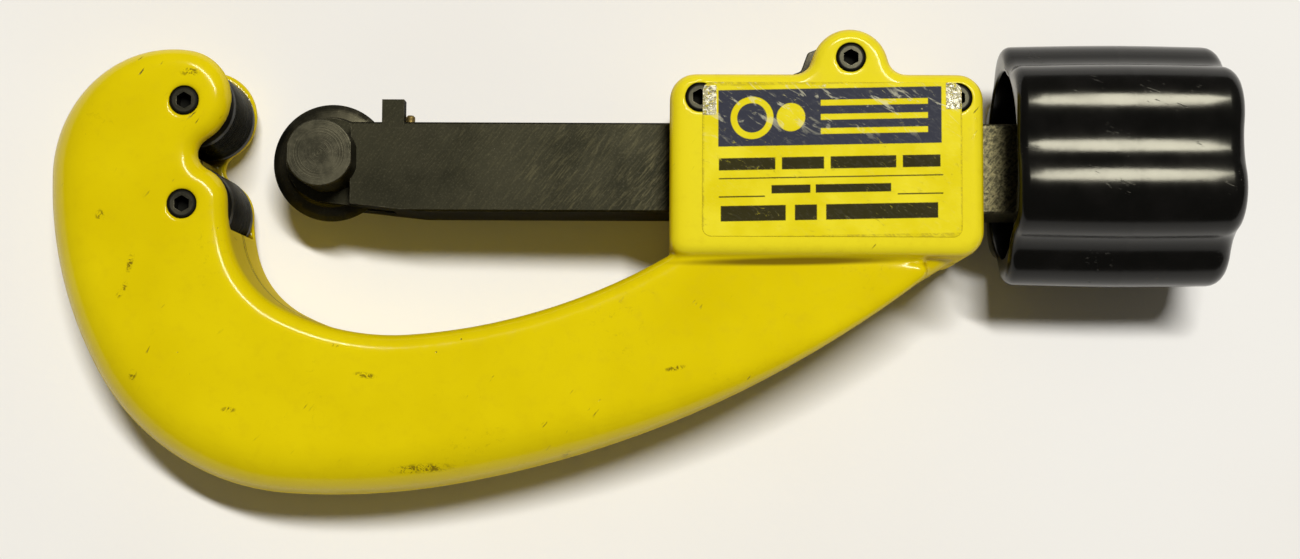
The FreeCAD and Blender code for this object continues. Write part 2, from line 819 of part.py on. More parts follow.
def wheel_axle():
    """A shank with a tall head. Two flats on the head stop it turning against the bar's step."""
    head = "axle_head_radius"
    groove_back = "ring_groove_front - ring_thickness - running_play"
    body = turned("wheel_axle", [
        ("0", "axle_tail"), ("axle_radius - axle_tail_chamfer", "axle_tail"),
        ("axle_radius", "axle_tail + axle_tail_chamfer"),
        ("axle_radius", groove_back), ("ring_groove_radius", groove_back),
        ("ring_groove_radius", "ring_groove_front"), ("axle_radius", "ring_groove_front"),
        ("axle_radius", "tongue_front + seat_play"), (head, "tongue_front + seat_play"),
        (head, "axle_head_top - axle_head_chamfer"), (head + " - axle_head_chamfer", "axle_head_top"),
        ("0", "axle_head_top")])
    for side, near, far in (("left", "-axle_head_across / 2 - overcut", "-axle_head_across / 2"),
                            ("right", "axle_head_across / 2", "axle_head_across / 2 + overcut")):
        flat = new_sketch(body, "XY", "axle_flat_" + side, "tongue_front")
        draw_rectangle(flat, near, "-" + head, far, head)
        new_pocket(body, flat, "axle_head_top", reverse=True)
    foot = new_sketch(body, "XY", "axle_foot_flat", "tongue_front")
    draw_rectangle(foot, "step_x - wheel_x - running_play", "-" + head, "axle_head_radius + overcut", head)
    new_pocket(body, foot, "bar_thickness / 2 - tongue_front + running_play", reverse=True)
    place(body, "wheel_x")
    return body


def cutter_wheel():
    """A thin hardened disc with a hub, two waists and a double-bevelled edge."""
    bore = "axle_radius + 2 * needle_radius + 2 * needle_play"
    half = "wheel_hub_width / 2"
    profile = [(bore, half), ("wheel_hub_radius", half), ("wheel_waist_radius", "wheel_waist_width / 2"),
               ("wheel_bevel_radius", "wheel_bevel_width / 2"), ("wheel_radius", "wheel_edge_width / 2")]
    mirrored = [(across, "-(%s)" % along) for across, along in reversed(profile)]
    body = turned("cutter_wheel", profile + mirrored)
    place(body, "wheel_x")
    return body


def axle_ring():
    """A retaining ring in the groove behind the bar, with a gap to open it by."""
    body = new_body("axle_retaining_ring")
    ring = new_sketch(body, "XY", "ring_annulus")
    draw_circle(ring, "0", "0", "ring_outer_radius")
    draw_circle(ring, "0", "0", "ring_groove_radius + seat_play")
    new_pad(body, ring, "ring_thickness", both_ways=True)
    gap = new_sketch(body, "XY", "ring_gap")
    draw_rectangle(gap, "-ring_gap / 2", "0", "ring_gap / 2", "ring_outer_radius + overcut")
    new_pocket(body, gap, "ring_thickness + overcut", both_ways=True)
    place(body, "wheel_x", "0", "ring_groove_front - ring_thickness / 2 - running_play / 2")
    return body


# ---------------------------------------------------------------- spindle and half nut

def spindle():
    """The feed spindle: thread at crest diameter, a retaining groove, a collar and a square."""
    groove_left = "retainer_x - retainer_radius - running_play"
    groove_right = "retainer_x + retainer_radius + running_play"
    neck = "spindle_radius - thread_depth"
    body = turned("spindle", [
        ("spindle_start", "0"), ("spindle_start", neck),
        ("spindle_start + thread_depth", "spindle_radius"), ("thread_end", "spindle_radius"),
        ("thread_end", neck), ("thread_relief_end", neck),
        ("thread_relief_end", "spindle_radius"), (groove_left, "spindle_radius"),
        (groove_left, "spindle_groove_radius"), (groove_right, "spindle_groove_radius"),
        (groove_right, "spindle_radius"), ("collar_left", "spindle_radius"),
        ("collar_left", "collar_radius"), ("collar_right", "collar_radius"),
        ("collar_right", "0")], axis="H")
    square = new_sketch(body, "YZ", "drive_square_face", "collar_left")
    draw_rectangle(square, "-drive_square / 2", "-drive_square / 2",
                   "drive_square / 2", "drive_square / 2")
    new_pad(body, square, "spindle_end - collar_left")
    hole = new_sketch(body, "YZ", "screw_hole", "spindle_end - screw_hole_depth")
    draw_circle(hole, "0", "0", "screw_radius + seat_play")
    new_pocket(body, hole, "screw_hole_depth + overcut", reverse=True)
    place(body)
    return body


def spindle_washer():
    """The thrust washer between the end of the bar and the spindle's collar."""
    back = "bar_end + seat_play"
    front = "collar_left - seat_play"
    bore = "spindle_radius + 2 * running_play"
    body = turned("spindle_thrust_washer", [
        (back, bore), (front, bore), (front, "thrust_washer_radius"), (back, "thrust_washer_radius")],
        axis="H")
    place(body)
    return body


def retaining_pin():
    """A cross pin that runs in the spindle's groove and pulls the bar back with it."""
    body = new_body("spindle_retaining_pin")
    rod = new_sketch(body, "XY", "retainer_circle")
    draw_circle(rod, "0", "0", "retainer_radius")
    new_pad(body, rod, "retainer_length", both_ways=True)
    place(body, "retainer_x", "retainer_y")
    return body


def half_nut_lever():
    """A rocker on the ear's pin: thumb pad on the left, half nut over the spindle on the right."""
    body = new_body("half_nut_lever")
    arms = new_sketch(body, "XY", "lever_arms")
    draw_polygon(arms, [
        ("lever_pad_left", "lever_pad_bottom"), ("ear_x - 3.5", "lever_pad_bottom"),
        ("ear_x + 1.5", "spring_seat + 1.6"), ("nut_left", "spring_seat - 0.2"),
        ("nut_left", "2"), ("nut_right", "2"), ("nut_right", "spring_seat + 1.5"),
        ("ear_x + 7.2", "lever_pin_y - 2.4"), ("ear_x + 4.2", "lever_pin_y + 2.6"),
        ("ear_x + 1.2", "lever_pin_y + 4.2"), ("ear_x - 3.2", "lever_pin_y + 4.0"),
        ("ear_x - 5.9", "lever_pin_y + 2.9"), ("ear_x - 7.0", "lever_pad_top + 0.6"),
        ("ear_x - 8.6", "lever_pad_top"), ("lever_pad_left + 0.9", "lever_pad_top"),
        ("lever_pad_left", "lever_pad_top - 0.9")])
    new_pad(body, arms, "lever_thickness", both_ways=True)
    nut_shoulder = value("spring_seat - 0.5")
    dress(body, "Fillet", "Radius", "lever_edge_round",
          lambda edge, middle: edge.BoundBox.ZLength > 4 and middle.y > nut_shoulder)
    hole = new_sketch(body, "XY", "lever_hole")
    draw_circle(hole, "ear_x", "lever_pin_y", "pin_radius + running_play")
    new_pocket(body, hole, "lever_thickness + overcut", both_ways=True)
    saddle = new_sketch(body, "YZ", "nut_saddle", "nut_left - overcut")
    draw_circle(saddle, "0", "0", "nut_saddle_radius")
    new_pocket(body, saddle, "nut_right - nut_left + 2 * overcut", reverse=True)
    for k in range(THUMB_GROOVES):
        groove = new_sketch(body, "XY", "thumb_groove_%d" % (k + 1))
        left = "lever_pad_left + thumb_groove_start + %d * thumb_groove_pitch" % k
        draw_rectangle(groove, left, "lever_pad_top - thumb_groove_depth",
                       left + " + thumb_groove_width", "lever_pad_top + overcut")
        new_pocket(body, groove, "lever_thickness + overcut", both_ways=True)
    place(body)
    return body


def lever_spring():
    """The compression spring under the thumb pad, which keeps the half nut closed."""
    coil = doc.addObject("Part::Helix", "spring_path")
    bind(coil, "Radius", "spring_coil_radius")
    bind(coil, "Pitch", "spring_pitch")
    bind(coil, "Height", "lever_pad_bottom - spring_seat - 2 * spring_wire_radius - 2 * running_play")
    wire = doc.addObject("Part::Circle", "spring_wire")
    bind(wire, "Radius", "spring_wire_radius")
    wire.Placement = Placement(Vector(value("spring_coil_radius"), 0, 0),
                               Rotation(Vector(1, 0, 0), 90))
    doc.recompute()
    spring = doc.addObject("Part::Sweep", "half_nut_spring")
    spring.Sections = [wire]
    spring.Spine = (coil, [])
    spring.Solid = True
    spring.Frenet = True
    place(spring, "spring_x", "spring_seat + spring_wire_radius + running_play", "0",
          Rotation(Vector(1, 0, 0), -90))
    return spring


# ---------------------------------------------------------------- knob

def knob_outline():
    """Six round lobes with tangent valleys between them, about the feed axis."""
    outer = value("knob_radius")
    valley = value("knob_valley_radius")
    lobe_round = value("knob_lobe_round")
    step = 360 / KNOB_LOBES
    half_step = math.radians(step / 2)
    lobe_reach = outer - lobe_round
    # the valley's arc touches the lobe's arc: the cosine rule, solved for the valley's own radius
    constant = (lobe_reach ** 2 + valley ** 2 - 2 * lobe_reach * valley * math.cos(half_step)
                - lobe_round ** 2)
    slope = 2 * (lobe_round + lobe_reach * math.cos(half_step) - valley)
    valley_round = constant / slope
    curves = []
    for k in range(KNOB_LOBES):
        crest = value("knob_first_lobe") + step * k
        lobe = heading(crest) * lobe_reach
        before = heading(crest - step / 2) * (valley + valley_round)
        after = heading(crest + step / 2) * (valley + valley_round)
        following = heading(crest + step) * lobe_reach
        share = lobe_round / (lobe_round + valley_round)
        start = lobe + (before - lobe) * share
        end = lobe + (after - lobe) * share
        far = following + (after - following) * share
        curves.append(Part.Arc(start, heading(crest) * outer, end))
        curves.append(Part.Arc(end, heading(crest + step / 2) * valley, far))
    return curves


def knob():
    """A moulded knob: lobes outside, a deep bore that swallows the bar, and a square in its floor."""
    body = new_body("knob")
    lobes = new_sketch(body, "YZ", "knob_lobes", "knob_left")
    for curve in knob_outline():
        lobes.addGeometry(curve, False)
    new_pad(body, lobes, "knob_right - knob_left")
    left = value("knob_left")
    right = value("knob_right")
    dress(body, "Fillet", "Radius", "knob_right_round",
          lambda edge, middle: abs(middle.x - right) < 0.01)
    dress(body, "Fillet", "Radius", "knob_left_round",
          lambda edge, middle: abs(middle.x - left) < 0.01)
    bore = new_sketch(body, "YZ", "knob_bore", "knob_left - overcut")
    draw_circle(bore, "0", "0", "knob_bore_radius")
    new_pocket(body, bore, "knob_floor - knob_left + overcut", reverse=True)
    square = new_sketch(body, "YZ", "knob_square", "knob_floor - overcut")
    half = "(drive_square / 2 + seat_play)"
    draw_rectangle(square, "-" + half, "-" + half, half, half)
    new_pocket(body, square, "knob_right - knob_floor + 2 * overcut", reverse=True)
    recess = new_sketch(body, "YZ", "screw_recess", "screw_recess_floor")
    draw_circle(recess, "0", "0", "screw_recess_radius")
    new_pocket(body, recess, "knob_right - screw_recess_floor + overcut", reverse=True)
    place(body)
    return body


def knob_washer():
    """The plain washer under the screw's head, in the knob's end recess."""
    back = "screw_recess_floor + seat_play"
    front = back + " + knob_washer_thickness"
    inner = "screw_radius + knob_washer_play"
    outer = "screw_recess_radius - knob_washer_play"
    body = turned("knob_washer", [(back, inner), (front, inner), (front, outer), (back, outer)],
                  axis="H")
    place(body)
    return body


def knob_screw():
    """A socket screw that clamps the knob to the spindle's square."""
    seat = "screw_recess_floor + knob_washer_thickness + 2 * seat_play"
    top = "knob_right - screw_head_set_back"
    body = turned("knob_screw", [
        ("screw_tip", "0"), ("screw_tip", "screw_radius - screw_tip_chamfer"),
        ("screw_tip + screw_tip_chamfer", "screw_radius"), (seat, "screw_radius"),
        (seat, "screw_head_radius"),
        (top + " - screw_head_chamfer", "screw_head_radius"),
        (top, "screw_head_radius - screw_head_chamfer"), (top, "0")],
        axis="H")
    socket = new_sketch(body, "YZ", "knob_screw_socket", top)
    draw_hexagon(socket, "screw_socket_across")
    new_pocket(body, socket, "screw_socket_depth")
    place(body)
    return body


# ---------------------------------------------------------------- build and write

def build():
    nodes = [frame_casting(), label()]
    nodes.append(socket_pin("upper_roller_pin", "0", "roller_offset", "frame_thickness"))
    nodes.append(socket_pin("lower_roller_pin", "0", "-roller_offset", "frame_thickness"))
    nodes.append(socket_pin("lever_pivot_pin", "ear_x", "lever_pin_y", "housing_thickness"))
    for side in ("left", "right"):
        x = "guide_pin_%s_x" % side
        nodes.append(socket_pin("guide_pin_" + side, x, "guide_pin_y", "housing_thickness"))
        nodes.append(guide_sleeve("guide_sleeve_" + side, x))
    for side, y in (("upper", "roller_offset"), ("lower", "-roller_offset")):
        nodes.append(roller(side + "_roller", y))
        nodes.append(needle_ring(side + "_roller_needles", "pin_radius", ROLLER_NEEDLES,
                                 "roller_needle_length", "0", y))
    nodes += [slide_bar(), buffer_pin(), wheel_axle(), cutter_wheel(), axle_ring()]
    nodes.append(needle_ring("wheel_needles", "axle_radius", WHEEL_NEEDLES, "wheel_hub_width - 0.2",
                             "wheel_x", "0"))
    nodes += [spindle(), spindle_washer(), retaining_pin(), half_nut_lever(), lever_spring()]
    nodes += [knob(), knob_washer(), knob_screw()]
    return nodes


def check(nodes):
    doc.recompute()
    for thing in doc.Objects:
        if "Invalid" in thing.State or "Error" in thing.State:
            raise RuntimeError("%s has not computed: %s" % (thing.Name, thing.State))
    for node in nodes:
        shape = node.Shape
        if shape.isNull() or not shape.isValid() or not shape.Solids:
            raise RuntimeError("%s has no valid solid" % node.Label)


def write(nodes):
    os.makedirs("parts", exist_ok=True)
    for node in nodes:
        node.Shape.exportStep("parts/%s.step" % node.Label)
        box = node.Shape.BoundBox
        print("%-24s %9.1f mm3  x %6.1f %6.1f  y %6.1f %6.1f  z %6.1f %6.1f" % (
            node.Label, node.Shape.Volume, box.XMin, box.XMax, box.YMin, box.YMax, box.ZMin, box.ZMax))


parts = build()
check(parts)
write(parts)
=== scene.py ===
import json
import math

import bmesh
import bpy
from mathutils import Euler, Matrix, Vector

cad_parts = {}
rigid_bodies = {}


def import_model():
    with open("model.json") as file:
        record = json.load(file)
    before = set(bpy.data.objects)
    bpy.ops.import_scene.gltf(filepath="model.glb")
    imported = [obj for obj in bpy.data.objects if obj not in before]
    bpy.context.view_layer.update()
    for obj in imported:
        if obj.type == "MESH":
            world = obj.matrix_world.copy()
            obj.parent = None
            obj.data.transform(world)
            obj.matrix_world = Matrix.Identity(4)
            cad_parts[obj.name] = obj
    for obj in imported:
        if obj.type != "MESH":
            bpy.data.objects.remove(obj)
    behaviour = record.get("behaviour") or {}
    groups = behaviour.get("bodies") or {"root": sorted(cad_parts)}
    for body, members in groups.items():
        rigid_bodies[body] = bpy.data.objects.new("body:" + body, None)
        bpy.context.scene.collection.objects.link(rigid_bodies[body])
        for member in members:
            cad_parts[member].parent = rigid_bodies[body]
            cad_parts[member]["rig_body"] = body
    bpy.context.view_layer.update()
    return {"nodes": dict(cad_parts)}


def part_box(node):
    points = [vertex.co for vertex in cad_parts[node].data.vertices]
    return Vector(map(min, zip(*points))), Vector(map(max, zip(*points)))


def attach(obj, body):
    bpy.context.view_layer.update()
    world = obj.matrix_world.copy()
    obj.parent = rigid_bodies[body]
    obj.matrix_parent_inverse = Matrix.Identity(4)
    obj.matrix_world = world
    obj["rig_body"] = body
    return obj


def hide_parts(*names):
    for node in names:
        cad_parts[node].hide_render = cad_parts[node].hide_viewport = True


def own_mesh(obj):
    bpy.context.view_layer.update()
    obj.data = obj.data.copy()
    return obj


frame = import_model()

# Pipe cutter: a yellow C-frame with two rollers, a black slide bar with the cutter wheel,
# and a lobed black knob. Object space is the part's own frame, in metres.

MM = 0.001
NODES = frame["nodes"]


# ---------------------------------------------------------------- materials

class Finish:
    """A material built from nodes. Its texture sizes are in millimetres of object space."""

    def __init__(self, name, **constants):
        self.material = bpy.data.materials.new(name)
        self.material.use_nodes = True
        self.tree = self.material.node_tree
        self.shader = self.tree.nodes["Principled BSDF"]
        for socket, setting in constants.items():
            self.shader.inputs[socket.replace("_", " ")].default_value = setting
        self.place = self.add("ShaderNodeTexCoord").outputs["Object"]

    def add(self, kind, **settings):
        node = self.tree.nodes.new(kind)
        for key, setting in settings.items():
            setattr(node, key, setting)
        return node

    def feed(self, socket, source):
        """Links a source to a socket, or sets the socket when the source is a plain value."""
        if isinstance(source, bpy.types.NodeSocket):
            self.tree.links.new(source, socket)
        else:
            socket.default_value = source

    def give(self, name, source):
        self.feed(self.shader.inputs[name], source)

    def math(self, operation, first, second=0.0, clamp=False):
        node = self.add("ShaderNodeMath", operation=operation, use_clamp=clamp)
        self.feed(node.inputs[0], first)
        self.feed(node.inputs[1], second)
        return node.outputs[0]

    def times(self, first, second):
        return self.math("MULTIPLY", first, second)

    def plus(self, first, second):
        return self.math("ADD", first, second)

    def most(self, first, second):
        return self.math("MAXIMUM", first, second)

    def inverse(self, mask):
        return self.math("SUBTRACT", 1.0, mask)

    def moved(self, size, stretch=(1, 1, 1), turn=(0, 0, 0), shift=(0, 0, 0), place=None):
        """Texture coordinates in which one unit is size millimetres, stretched along each axis."""
        turned = self.add("ShaderNodeMapping", vector_type="POINT")
        self.feed(turned.inputs["Vector"], place or self.place)
        turned.inputs["Rotation"].default_value = [math.radians(a) for a in turn]
        scaled = self.add("ShaderNodeMapping", vector_type="POINT")
        self.feed(scaled.inputs["Vector"], turned.outputs[0])
        scaled.inputs["Scale"].default_value = [1 / (size * MM * s) for s in stretch]
        scaled.inputs["Location"].default_value = shift
        return scaled.outputs[0]

    def offset(self, x, y):
        """Object space moved so that (x, y), in millimetres, is its origin."""
        node = self.add("ShaderNodeVectorMath", operation="SUBTRACT")
        self.feed(node.inputs[0], self.place)
        node.inputs[1].default_value = (x * MM, y * MM, 0)
        return node.outputs[0]

    def from_centre(self, x, y):
        """The distance in millimetres from an upright axis at (x, y)."""
        flat = self.add("ShaderNodeVectorMath", operation="MULTIPLY")
        self.feed(flat.inputs[0], self.offset(x, y))
        flat.inputs[1].default_value = (1, 1, 0)
        radius = self.add("ShaderNodeVectorMath", operation="LENGTH")
        self.feed(radius.inputs[0], flat.outputs[0])
        return self.times(radius.outputs["Value"], 1 / MM)

    def patch(self, x, y, wide, high, lean=0):
        """1 in the middle of an ellipse on the part's front, fading to 0 at its rim."""
        place = self.moved(1.0, stretch=(wide, high, 100), turn=(0, 0, lean), place=self.offset(x, y))
        reach = self.add("ShaderNodeVectorMath", operation="LENGTH")
        self.feed(reach.inputs[0], place)
        return self.spread(reach.outputs["Value"], 0.35, 1.0, 1.0, 0.0)

    def noise(self, size, detail=2.0, roughness=0.5, distortion=0.0, **mapping):
        node = self.add("ShaderNodeTexNoise")
        self.feed(node.inputs["Vector"], self.moved(size, **mapping))
        node.inputs["Scale"].default_value = 1.0
        node.inputs["Detail"].default_value = detail
        node.inputs["Roughness"].default_value = roughness
        node.inputs["Distortion"].default_value = distortion
        return node.outputs[0]

    def specks(self, size, share, radius=0.28, **mapping):
        """Sparse dots: share is how many of the cells carry one, radius its size in cells."""
        node = self.add("ShaderNodeTexVoronoi")
        self.feed(node.inputs["Vector"], self.moved(size, **mapping))
        node.inputs["Scale"].default_value = 1.0
        split = self.add("ShaderNodeSeparateColor")
        self.feed(split.inputs[0], node.outputs["Color"])
        chosen = self.math("LESS_THAN", split.outputs[0], share)
        reach = self.times(split.outputs[1], radius)
        near = self.spread(self.math("SUBTRACT", reach, node.outputs["Distance"]), 0.0, 0.06)
        return self.times(chosen, near)

    def spread(self, source, low, high, to_low=0.0, to_high=1.0):
        """A smooth step from to_low at low to to_high at high."""
        node = self.add("ShaderNodeMapRange", interpolation_type="SMOOTHSTEP")
        self.feed(node.inputs["Value"], source)
        for name, number in (("From Min", low), ("From Max", high),
                             ("To Min", to_low), ("To Max", to_high)):
            node.inputs[name].default_value = number
        return node.outputs[0]

    def axis(self, letter):
        """One coordinate of object space, in millimetres."""
        split = self.add("ShaderNodeSeparateXYZ")
        self.feed(split.inputs[0], self.place)
        return self.times(split.outputs["XYZ".index(letter)], 1 / MM)

    def blend(self, factor, first, second):
        """The first colour where the factor is 0 and the second where it is 1."""
        node = self.add("ShaderNodeMix", data_type="RGBA")
        self.feed(node.inputs[0], factor)
        self.feed(node.inputs[6], first)
        self.feed(node.inputs[7], second)
        return node.outputs[2]

    def over(self, base, mask, strength, colour):
        """The base with a colour laid over it at the given strength, where the mask is 1."""
        return self.blend(self.times(mask, strength), base, colour)

    def edges(self, width, low=0.02, high=0.2):
        """1 along corners sharper than the width in millimetres, 0 on open faces."""
        soft = self.add("ShaderNodeBevel", samples=6)
        soft.inputs["Radius"].default_value = width * MM
        hard = self.add("ShaderNodeNewGeometry").outputs["Normal"]
        dot = self.add("ShaderNodeVectorMath", operation="DOT_PRODUCT")
        self.feed(dot.inputs[0], soft.outputs[0])
        self.feed(dot.inputs[1], hard)
        return self.spread(self.inverse(dot.outputs["Value"]), low, high)

    def bump(self, height, depth, normal=None):
        """Height from 0 to 1 stands for depth millimetres."""
        node = self.add("ShaderNodeBump")
        node.inputs["Strength"].default_value = 1.0
        node.inputs["Distance"].default_value = depth * MM
        self.feed(node.inputs["Height"], height)
        if normal is not None:
            self.feed(node.inputs["Normal"], normal)
        return node.outputs[0]


def rgb(red, green, blue):
    """A linear colour from the 0 to 255 values that a screen shows."""
    def linear(level):
        level /= 255
        return level / 12.92 if level <= 0.04045 else ((level + 0.055) / 1.055) ** 2.4
    return (linear(red), linear(green), linear(blue), 1.0)


PINS = ("upper_roller_pin", "lower_roller_pin", "guide_pin_left", "guide_pin_right", "lever_pivot_pin")


def middle_of(node):
    """The x and y of the middle of a CAD node, in millimetres."""
    low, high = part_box(node)
    return (low.x + high.x) / 2 / MM, (low.y + high.y) / 2 / MM


PIN_PLACES = [middle_of(node) for node in PINS]

# places and sizes in millimetres, the housing's two ends rounded
WHEEL_AXIS = (21.2, 0)
ROLLER_AXES = {"upper": (0, 8.1), "lower": (0, -8.1)}
ROLLER_LENGTH = 18
PIN_FACE_RADIUS, PIN_HOLE_RADIUS = 1.85, 2.25
BOW_FACE = 13.0
HOUSING_LEFT, HOUSING_RIGHT = 76, 124
THREAD_PITCH, THREAD_END = 2.0, 124.0

# old dirt rubbed into the paint: place, half width, half height in millimetres, and lean in degrees
SMUDGES = [(0.9, 12.5, 1.9, 0.9, 0), (-7.7, -17.3, 0.6, 2.2, 12), (-8.9, -21.6, 0.7, 1.8, 30),
           (-12.6, -10.0, 0.9, 1.2, 0), (-7.0, -34.7, 0.8, 1.2, 20), (37.7, -48.9, 6.0, 1.0, -4),
           (29.0, -34.6, 2.2, 0.6, 8), (24.3, -30.0, 0.8, 0.5, 0), (76.7, -33.3, 2.2, 0.5, -10),
           (59.9, -46.7, 1.2, 0.8, -25), (-16.0, -34.0, 1.4, 3.0, 40), (8.0, -40.0, 1.4, 0.6, 0)]


def smudged(paint, colour):
    """Old dirt at the places where the paint has been rubbed and knocked."""
    grain = paint.spread(paint.noise(0.8, detail=5, roughness=0.75, distortion=0.8), 0.47, 0.57)
    for x, y, wide, high, lean in SMUDGES:
        patch = paint.times(paint.patch(x, y, wide, high, lean), grain)
        colour = paint.over(colour, patch, 0.85, rgb(92, 70, 14))
    return colour


def specks_and_scuffs(paint):
    """1 on small dirt dots and on short slanting scuffs."""
    dots = paint.most(paint.specks(1.9, 0.03, radius=0.14),
                      paint.specks(5.5, 0.08, radius=0.055, shift=(0.4, 7.3, 2.2)))
    streaks = paint.noise(0.55, detail=2, stretch=(1, 6, 6), turn=(0, 0, 38), distortion=0.4)
    patch = paint.spread(paint.noise(9, detail=2, shift=(8.0, 2.0, 5.0)), 0.60, 0.70)
    return paint.most(dots, paint.times(paint.spread(streaks, 0.66, 0.74), patch))


def chipped_edges(paint):
    """1 where the paint has worn through, in places along the edges."""
    fine = paint.spread(paint.noise(1.1, detail=4, roughness=0.65), 0.60, 0.68)
    broad = paint.spread(paint.noise(17, detail=1), 0.50, 0.58)
    return paint.times(paint.times(paint.edges(0.7, 0.05, 0.2), fine), broad)


def seam_dirt_and_shade(paint, colour, flatness):
    """Dirt in the mould's parting line, and painted shade in inside corners, in the gaps round the pins
    and below the housing.
    """
    seam = paint.spread(paint.math("ABSOLUTE", paint.axis("Z")), 0.45, 1.0, 0.92, 0.0)
    upright = paint.spread(flatness, 0.2, 0.4, 1.0, 0.0)
    colour = paint.blend(paint.times(seam, upright), colour, rgb(58, 42, 8))
    # painted shade: darker, in a dirty brown, in inside corners and recesses, found by ambient occlusion
    crevice = paint.add("ShaderNodeAmbientOcclusion", samples=8)
    crevice.inputs["Distance"].default_value = 2.6 * MM
    corner_shade = paint.spread(crevice.outputs["AO"], 0.45, 0.86, 0.85, 0.0)
    colour = paint.blend(corner_shade, colour, rgb(104, 74, 6))
    # painted shade: a dark ring on the rim of each pin's hole, where the gap to the pin is
    for x, y in PIN_PLACES:
        pin_gap_shade = paint.spread(paint.from_centre(x, y), PIN_HOLE_RADIUS + 0.03, PIN_HOLE_RADIUS + 0.17,
                                 0.95, 0.0)
        colour = paint.blend(pin_gap_shade, colour, rgb(26, 20, 8))
    # painted shade: a dark line along the foot of the housing, where its underside meets the bow
    return paint.over(colour, paint.patch(95, -16.7, 23, 0.9, -1), 0.85, rgb(88, 62, 8))


def yellow_paint():
    """Glossy yellow paint on a casting: faint orange peel, old dirt, scuffs and worn edges."""
    paint = Finish("yellow_paint", IOR=1.5, Specular_IOR_Level=0.22)
    mottle = paint.noise(2.2, detail=4, roughness=0.6)
    grime = paint.spread(paint.noise(0.9, detail=5, roughness=0.7, distortion=0.6), 0.55, 0.75)
    grime = paint.times(grime, paint.spread(paint.noise(13, detail=3, shift=(3.1, 1.7, 0.4)), 0.52, 0.7))
    marks = specks_and_scuffs(paint)
    worn = chipped_edges(paint)
    facing = paint.add("ShaderNodeSeparateXYZ")
    paint.feed(facing.inputs[0], paint.add("ShaderNodeNewGeometry").outputs["True Normal"])
    flatness = paint.math("ABSOLUTE", facing.outputs["Z"])

    colour = paint.spread(paint.noise(22, detail=3), 0.3, 0.7)
    colour = paint.blend(colour, rgb(214, 191, 2), rgb(224, 202, 6))
    # painted sheen: the housing's face is painted paler where it catches the lamp's gloss
    painted_sheen = paint.times(paint.spread(paint.axis("X"), HOUSING_LEFT - 4, HOUSING_LEFT + 4),
                        paint.spread(paint.axis("Z"), BOW_FACE + 0.2, BOW_FACE + 1.0))
    colour = paint.over(colour, painted_sheen, 0.8, rgb(236, 220, 40))
    colour = paint.blend(paint.spread(mottle, 0.45, 0.8, 0.0, 0.18), colour, rgb(196, 168, 6))
    colour = paint.over(colour, grime, 0.3, rgb(120, 96, 10))
    colour = paint.over(smudged(paint, colour), marks, 0.85, rgb(70, 58, 20))
    colour = paint.blend(worn, colour, rgb(104, 92, 52))
    # painted light: the side walls get a brighter, deeper yellow to lift the grey that shade and grazing
    # reflection leave on them
    painted_wall_light = paint.spread(flatness, 0.25, 0.9, 1.0, 0.0)
    colour = paint.over(colour, painted_wall_light, 0.4, rgb(244, 212, 0))
    paint.give("Base Color", seam_dirt_and_shade(paint, colour, flatness))

    rough = paint.plus(paint.spread(mottle, 0.3, 0.8, 0.12, 0.22), paint.times(marks, 0.3))
    # the side walls are dull
    rough = paint.plus(rough, paint.spread(flatness, 0.1, 0.6, 0.65, 0.0))
    paint.give("Roughness", paint.math("ADD", rough, paint.times(grime, 0.12), clamp=True))
    paint.give("Metallic", paint.times(worn, 0.6))
    orange_peel = paint.bump(paint.noise(1.6, detail=2, roughness=0.4), 0.008)
    whole = paint.inverse(paint.most(marks, worn))
    paint.give("Normal", paint.bump(whole, 0.05, orange_peel))
    return paint.material


def blackened_steel(name, dark, light, rough=0.42, grain=None, coarse=1.0, wear=0.5, metal=0.92,
                    oil_and_shade=None, grazing=0.22):
    """Black-oxide steel: mottled, with rubbed edges, small bright nicks and a ground or turned grain.
    oil_and_shade(steel) is 1 where it is made black: old oil, and painted shade in sockets, gaps and
    slots. grazing dims its edge gloss."""
    steel = Finish(name, IOR=1.6, Specular_Tint=(grazing, grazing, 0.95 * grazing, 1))
    cloud = steel.noise(7 * coarse, detail=4, roughness=0.6)
    colour = steel.blend(steel.spread(cloud, 0.3, 0.72), dark, light)
    fine = steel.noise(0.35, detail=3, roughness=0.7)
    colour = steel.blend(steel.spread(fine, 0.5, 0.8, 0.0, 0.25), colour, rgb(112, 108, 96))
    nicks = steel.specks(1.6, 0.07, radius=0.13)
    rubbed = steel.spread(steel.noise(1.4, detail=3), 0.42, 0.66, 0.15 * wear, wear)
    bright = steel.most(nicks, steel.times(steel.edges(0.25, 0.03, 0.25), rubbed))
    roughness = steel.spread(cloud, 0.3, 0.75, rough - 0.05, rough + 0.08)
    height = fine
    depth = 0.006
    if grain:
        lines, strength = grain(steel)
        colour = steel.over(colour, lines, strength, rgb(128, 122, 96))
        height = steel.plus(steel.times(fine, 0.4), lines)
        depth = 0.008
    colour = steel.over(colour, bright, 0.75, rgb(165, 160, 146))
    roughness = steel.math("SUBTRACT", roughness, steel.times(bright, 0.12))
    # black for old oil, and painted shade in sockets, gaps and slots
    if oil_and_shade:
        oil_and_shade_mask = oil_and_shade(steel)
        colour = steel.blend(oil_and_shade_mask, colour, rgb(7, 7, 6))
        metal = steel.times(steel.inverse(oil_and_shade_mask), metal)
        roughness = steel.plus(roughness, steel.times(oil_and_shade_mask, 0.25))
    steel.give("Base Color", colour)
    steel.give("Metallic", metal)
    steel.give("Roughness", roughness)
    steel.give("Normal", steel.bump(height, depth))
    return steel.material


